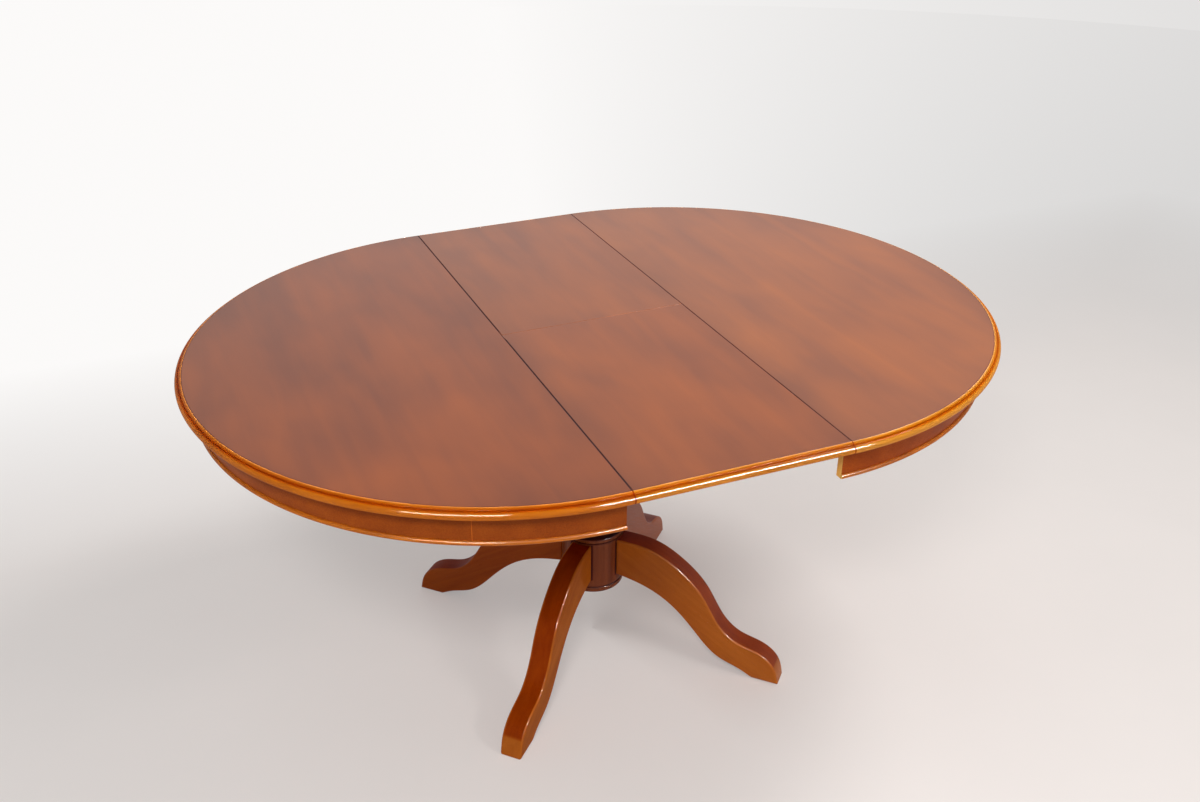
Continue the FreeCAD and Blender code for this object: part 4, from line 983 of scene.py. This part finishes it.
class TABLE_OT_pedestal(bpy.types.Operator):
    """Turned hub and column"""
    bl_idname = "table.pedestal"
    bl_label = "Pedestal"
    hub_steps, seat_steps = 240, 40
    core_ease, foot_ease, head_ease = 0.001, 0.004, 0.0035
    groove_eases = (0.0008, 0.0005, 0.0008)
    grime_reach, face_share = 0.002, 0.9

    def hub_outline(self):
        """Section of the hub as (radius, height): two ring grooves and rounded rims, with a
        straight stretch of points for the legs' seats between them."""
        size = detail()
        radius, groove = HUB_HIGH[0], size.hub_groove
        foot, head = HUB_LOW[2], HUB_HIGH[2]
        low, high = foot + size.hub_low_ring, head - size.hub_high_ring
        core = radius / 2
        lower = rounded(((core, foot), (radius, foot), (radius, low),
                         (radius - groove, low + groove / 2), (radius, low + groove)),
                        (self.core_ease, self.foot_ease, *self.groove_eases))
        upper = rounded(((radius, high - groove), (radius - groove, high - groove / 2),
                         (radius, high), (radius, head), (core, head)),
                        (*self.groove_eases, self.head_ease, self.core_ease))
        seat = np.linspace(low + 2 * groove, high - 2 * groove, self.seat_steps)
        return np.concatenate((lower, spread(radius, seat), upper))

    def column_outline(self):
        """Section of the column as (radius, height): foot, cove, waist and collar."""
        foot, top = COLUMN_LOW[2], COLUMN_HIGH[2]
        collar, core = COLUMN_HIGH[0], HUB_HIGH[0] / 4
        lower, upper = np.array(COLUMN_FOOT_SHARES), np.array(COLUMN_HEAD_SHARES)
        corners = np.concatenate((((core, foot),), lower[:, :2] * (collar, 1) + (0, foot),
                                  upper[:, :2] * (collar, -1) + (0, top), ((core, top),)))
        return rounded(corners, (self.core_ease, *lower[:, 2], *upper[:, 2], self.core_ease))

    def joint_grime(self, place):
        """Painted shade in the ring grooves and beside the legs, falling off from a leg's side."""
        size = detail()
        radius = np.linalg.norm(place[..., :2], axis=-1)
        face = radius > self.face_share * HUB_HIGH[0]
        sunk = fade(HUB_HIGH[0] - radius, 0, size.hub_groove) * face
        angle = np.arctan2(place[..., 1], place[..., 0])
        swings = np.radians(np.array(list(LEG_TURNS.values())))
        across = np.abs(np.sin(angle[..., None] - swings)) * HUB_HIGH[0]
        beside = np.exp(-((across.min(-1) - size.leg_thickness / 2) / self.grime_reach) ** 2)
        rise = LEG_LOWER_SHARES[0][1] * (size.leg_top - size.leg_foot)
        root = size.leg_foot + rise - size.leg_margin
        inside = (place[..., 2] > root) & (place[..., 2] < size.leg_top + size.leg_margin)
        return HUB_WEAR * np.maximum(sunk, beside * inside)

    def execute(self, context):
        finish = wood("turned_column", stain("column"), gloss=0.32, sheen=0.05, coat=0.3,
                      figure=(2.5, 60, 60), cloud=(4, 12, 12), shift=(5.2, 0.3, 0.1), wear=0.4)
        place, grain = whole_turn(self.hub_outline(), self.hub_steps)
        make_piece("turned_hub", place, grain, self.joint_grime(place), (finish,), "base",
                   ("leg_hub",), True)
        place, grain = whole_turn(self.column_outline())
        make_piece("turned_column", place, grain, 0.0, (finish,), "base", ("pedestal_column",),
                   True)
        paint_nodes(wood("hub_cap_wood", stain("column"), along="x"), "hub_cap")
        return {"FINISHED"}


class TABLE_OT_framing(bpy.types.Operator):
    """Unfinished beech under the top: rails, runners, bearers, blocks and battens"""
    bl_idname = "table.framing"
    bl_label = "Framing"

    def execute(self, context):
        looks = dict(gloss=0.55, figure=(2, 60, 60), cloud=(4, 10, 10), bump=0.2)
        lengthwise = wood("beech_lengthwise", stain("beech"), along="x", **looks)
        crosswise = wood("beech_crosswise", stain("beech"), along="y", **looks)
        paint_nodes(lengthwise, "centre_rail_front", "centre_rail_rear", "runners_left",
                    "runners_right", "rack_spacer_left", "rack_spacer_right", "leaf_battens_front",
                    "leaf_battens_rear", "column_top_block", "leg_dowels")
        paint_nodes(crosswise, "cross_bearer_left", "cross_bearer_right", "glue_blocks_left",
                    "glue_blocks_right")
        return {"FINISHED"}


class TABLE_OT_fittings(bpy.types.Operator):
    """Screws, bolts, catches, hinges, gear and glides"""
    bl_idname = "table.fittings"
    bl_label = "Fittings"

    def execute(self, context):
        tone = tones()
        finishes = {"zinc_steel": plated_metal("zinc_plate", tuple(tone.zinc), rough=0.34),
                    "brass": plated_metal("turned_brass", tuple(tone.brass), rough=0.26),
                    "nylon": moulded_nylon("white_nylon", tone.nylon_dark, tone.nylon_light)}
        for part in frame["record"]["subparts"]:
            if part["material_slot"] in finishes:
                paint_nodes(finishes[part["material_slot"]], part["node"])
        return {"FINISHED"}


class TABLE_OT_stage(bpy.types.Operator):
    """Pale floor, soft lamps and the camera"""
    bl_idname = "table.stage"
    bl_label = "Stage"
    floor_rings, floor_steps = (1.0, 2.0, 4.0, 8.0), 96
    floor_behind, floor_away = (0.7, 1.9), (2.2, 4.0)
    floor_mottle, floor_change, floor_roughness = 1.5, 0.02, 0.6
    aim = (0.0, 0.0, 0.6)
    right_spot, left_spot = (1.55, -2.3, 2.3), (-1.7, -2.2, 2.4)
    white, pale = (1.0, 1.0, 1.0), (1.0, 0.985, 0.97)
    warm, honey = (1.0, 0.97, 0.94), (1.0, 0.84, 0.60)
    # Lamps: place, width and height, and tone
    lamps = {"key": (right_spot, (0.8, 0.3), warm),
             "fill": ((-1.4, -2.3, 2.8), (0.8, 0.5), pale),
             "side": ((1.9, 0.1, 3.2), (1.0, 1.0), pale)}
    # Strips of light: what reflects them, place, width and height, share of the power, and tone
    glints = {"key_edge_glint": ("edges", (1.05, -2.5, 2.3), (1.7, 0.9), 5.2, white),
              "fill_edge_glint": ("edges", left_spot, (1.6, 0.9), 2.6, honey),
              "key_leg_glint": ("legs", right_spot, (1.1, 0.75), 5, white),
              "fill_leg_glint": ("legs", left_spot, (0.7, 0.3), 2, white)}
    # Starts of the names of the pieces that reflect the strips
    lacquer = {"edges": ("edge_strip", "leaf_strip", "apron_beading"),
               "legs": ("sabre_leg_front", "turned")}

    def floor(self, stage):
        """Flat round floor of rings about the table, (r cos a, r sin a, 0), closed by a disc in the
        middle."""
        around = np.linspace(0, math.tau, self.floor_steps, endpoint=False)[None]
        radius = np.array(self.floor_rings)[:, None]
        place = spread(radius * np.cos(around), radius * np.sin(around), 0.0)
        faces = grid_faces(len(radius), self.floor_steps, False) + [list(range(self.floor_steps))]
        mesh = bpy.data.meshes.new("floor")
        mesh.from_pydata(place.reshape(-1, 3).tolist(), [], faces)
        mesh.materials.append(self.floor_finish(stage))
        ground = put_in_scene("floor", mesh)

    def floor_finish(self, stage):
        """Matt pale floor that takes the shadow. Away from the table, and sooner behind it, it
        turns into the even white of the backdrop for the eye and for reflections."""
        wiring = Wiring(bpy.data.materials.new("pale_floor"))
        where = wiring.place()
        scale = self.floor_mottle
        mottle = wiring.noise(where, (scale, scale, scale), depth=4.0, rough=0.6)
        pale = np.array(stage.floor)
        shades = ((1 - self.floor_change) * pale, np.minimum((1 + self.floor_change) * pale, 1))
        shade = wiring.ramp(mottle, tuple(zip(EVEN_BAND, shades)))
        wiring.feed(wiring.shader, **{"Base Color": shade, "Roughness": self.floor_roughness})
        behind = wiring.remap(wiring.parts(where)["Y"], *self.floor_behind, stage.floor_lift, 1.0)
        length_node = wiring.add("ShaderNodeVectorMath", operation="LENGTH")
        distance = wiring.feed(length_node, i0=where).outputs["Value"]
        away = wiring.math("MAXIMUM", behind,
                           wiring.remap(distance, *self.floor_away, stage.floor_lift, 1.0))
        white = wiring.feed(wiring.add("ShaderNodeEmission"), Color=BACKDROP_TONE,
                            Strength=wiring.backdrop(where, stage.backdrop))
        mixed = wiring.feed(wiring.add("ShaderNodeMixShader"),
                            i0=wiring.math("MULTIPLY", wiring.seen(where), away),
                            i1=wiring.shader.outputs[0], i2=white.outputs[0])
        wiring.feed(wiring.tree.nodes["Material Output"], Surface=mixed.outputs[0])
        return wiring.owner

    def lamp(self, name, place, size, energy, tone):
        """Soft lamp of a width and a height at a place, facing the table."""
        light = bpy.data.lights.new(name, "AREA")
        light.shape = "RECTANGLE"
        light.size, light.size_y = size
        light.energy = energy
        light.color = tone
        lamp = put_in_scene(name, light)
        lamp.location = place
        away = np.array(place, float) - np.array(self.aim, float)
        away /= np.linalg.norm(away)
        side = np.cross((0.0, 0.0, 1.0), away)
        side /= np.linalg.norm(side)
        up = np.cross(away, side)
        lamp.rotation_euler = Matrix(np.stack((side, up, away), 1).tolist()).to_euler()
        return lamp

    def lacquered(self, kind):
        """Collection of the pieces of a kind, whose lacquer shows a strip of light."""
        group = bpy.data.collections.new(f"lacquered_{kind}")
        for piece in bpy.context.scene.objects:
            if piece.name.startswith(self.lacquer[kind]):
                group.objects.link(piece)
        return group

    def sky(self, stage):
        """Even soft light from all round, seen by the eye and reflections as the backdrop."""
        world = bpy.data.worlds.new("studio")
        bpy.context.scene.world = world
        wiring = Wiring(world)
        where = wiring.place("Generated")
        strength = wiring.remap(wiring.seen(where), 0.0, 1.0, stage.sky_strength,
                                wiring.backdrop(where, stage.backdrop))
        wiring.feed(wiring.tree.nodes["Background"], Color=BACKDROP_TONE, Strength=strength)

    def camera(self, stage):
        """Camera whose axes come from yaw, pitch and roll."""
        yaw, pitch, roll = stage.camera_yaw, stage.camera_pitch, stage.camera_roll
        view = np.array((math.sin(yaw) * math.cos(pitch), math.cos(yaw) * math.cos(pitch),
                         -math.sin(pitch)))
        right = np.cross(view, (0.0, 0.0, 1.0))
        right /= np.linalg.norm(right)
        up = np.cross(right, view)
        axes = (right * math.cos(roll) + up * math.sin(roll),
                up * math.cos(roll) - right * math.sin(roll), -view)
        eye = bpy.data.cameras.new("camera")
        eye.sensor_width = stage.camera_sensor
        eye.lens = stage.camera_lens
        eye.shift_x = stage.camera_shift
        camera = put_in_scene("camera", eye)
        camera.location = stage.camera_place
        camera.rotation_euler = Matrix(np.stack(axes, 1).tolist()).to_euler()
        bpy.context.scene.camera = camera

    def execute(self, context):
        stage = context.scene.table_stage
        self.floor(stage)
        self.sky(stage)
        for name, (place, size, tone) in self.lamps.items():
            self.lamp(name, place, size, getattr(stage, f"{name}_power"), tone)
        groups = {kind: self.lacquered(kind) for kind in self.lacquer}
        for name, (kind, place, size, part, tone) in self.glints.items():
            strip = self.lamp(name, place, size, part * stage.glint_power, tone)
            strip.visible_diffuse = False
            strip.light_linking.receiver_collection = groups[kind]
        self.camera(stage)
        context.scene.view_settings.view_transform = "Standard"
        return {"FINISHED"}


OPERATORS = (TABLE_OT_half_tops, TABLE_OT_leaf, TABLE_OT_edge_mouldings, TABLE_OT_aprons,
             TABLE_OT_legs, TABLE_OT_pedestal, TABLE_OT_framing, TABLE_OT_fittings, TABLE_OT_stage)
GROUPS = {"table_tones": TableTones, "table_detail": TableDetail, "table_stage": TableStage}


class TABLE_PT_sidebar(bpy.types.Panel):
    """Pieces of the table and their settings"""
    bl_idname = "TABLE_PT_sidebar"
    bl_label = "Extending table"
    bl_space_type = "VIEW_3D"
    bl_region_type = "UI"
    bl_category = "Table"

    def draw(self, context):
        for operator in OPERATORS:
            self.layout.operator(operator.bl_idname)
        for name, group in GROUPS.items():
            for setting in group.__annotations__:
                self.layout.prop(getattr(context.scene, name), setting)


def register():
    for name, group in GROUPS.items():
        bpy.utils.register_class(group)
        setattr(bpy.types.Scene, name, bpy.props.PointerProperty(type=group))
    for kind in (*OPERATORS, TABLE_PT_sidebar):
        bpy.utils.register_class(kind)


def unregister():
    for kind in (TABLE_PT_sidebar, *reversed(OPERATORS)):
        bpy.utils.unregister_class(kind)
    for name, group in GROUPS.items():
        delattr(bpy.types.Scene, name)
        bpy.utils.unregister_class(group)


def main():
    register()
    bpy.ops.table.half_tops()
    bpy.ops.table.leaf()
    bpy.ops.table.edge_mouldings()
    bpy.ops.table.aprons()
    bpy.ops.table.legs()
    bpy.ops.table.pedestal()
    bpy.ops.table.framing()
    bpy.ops.table.fittings()
    bpy.ops.table.stage()


if __name__ == "__main__":
    main()
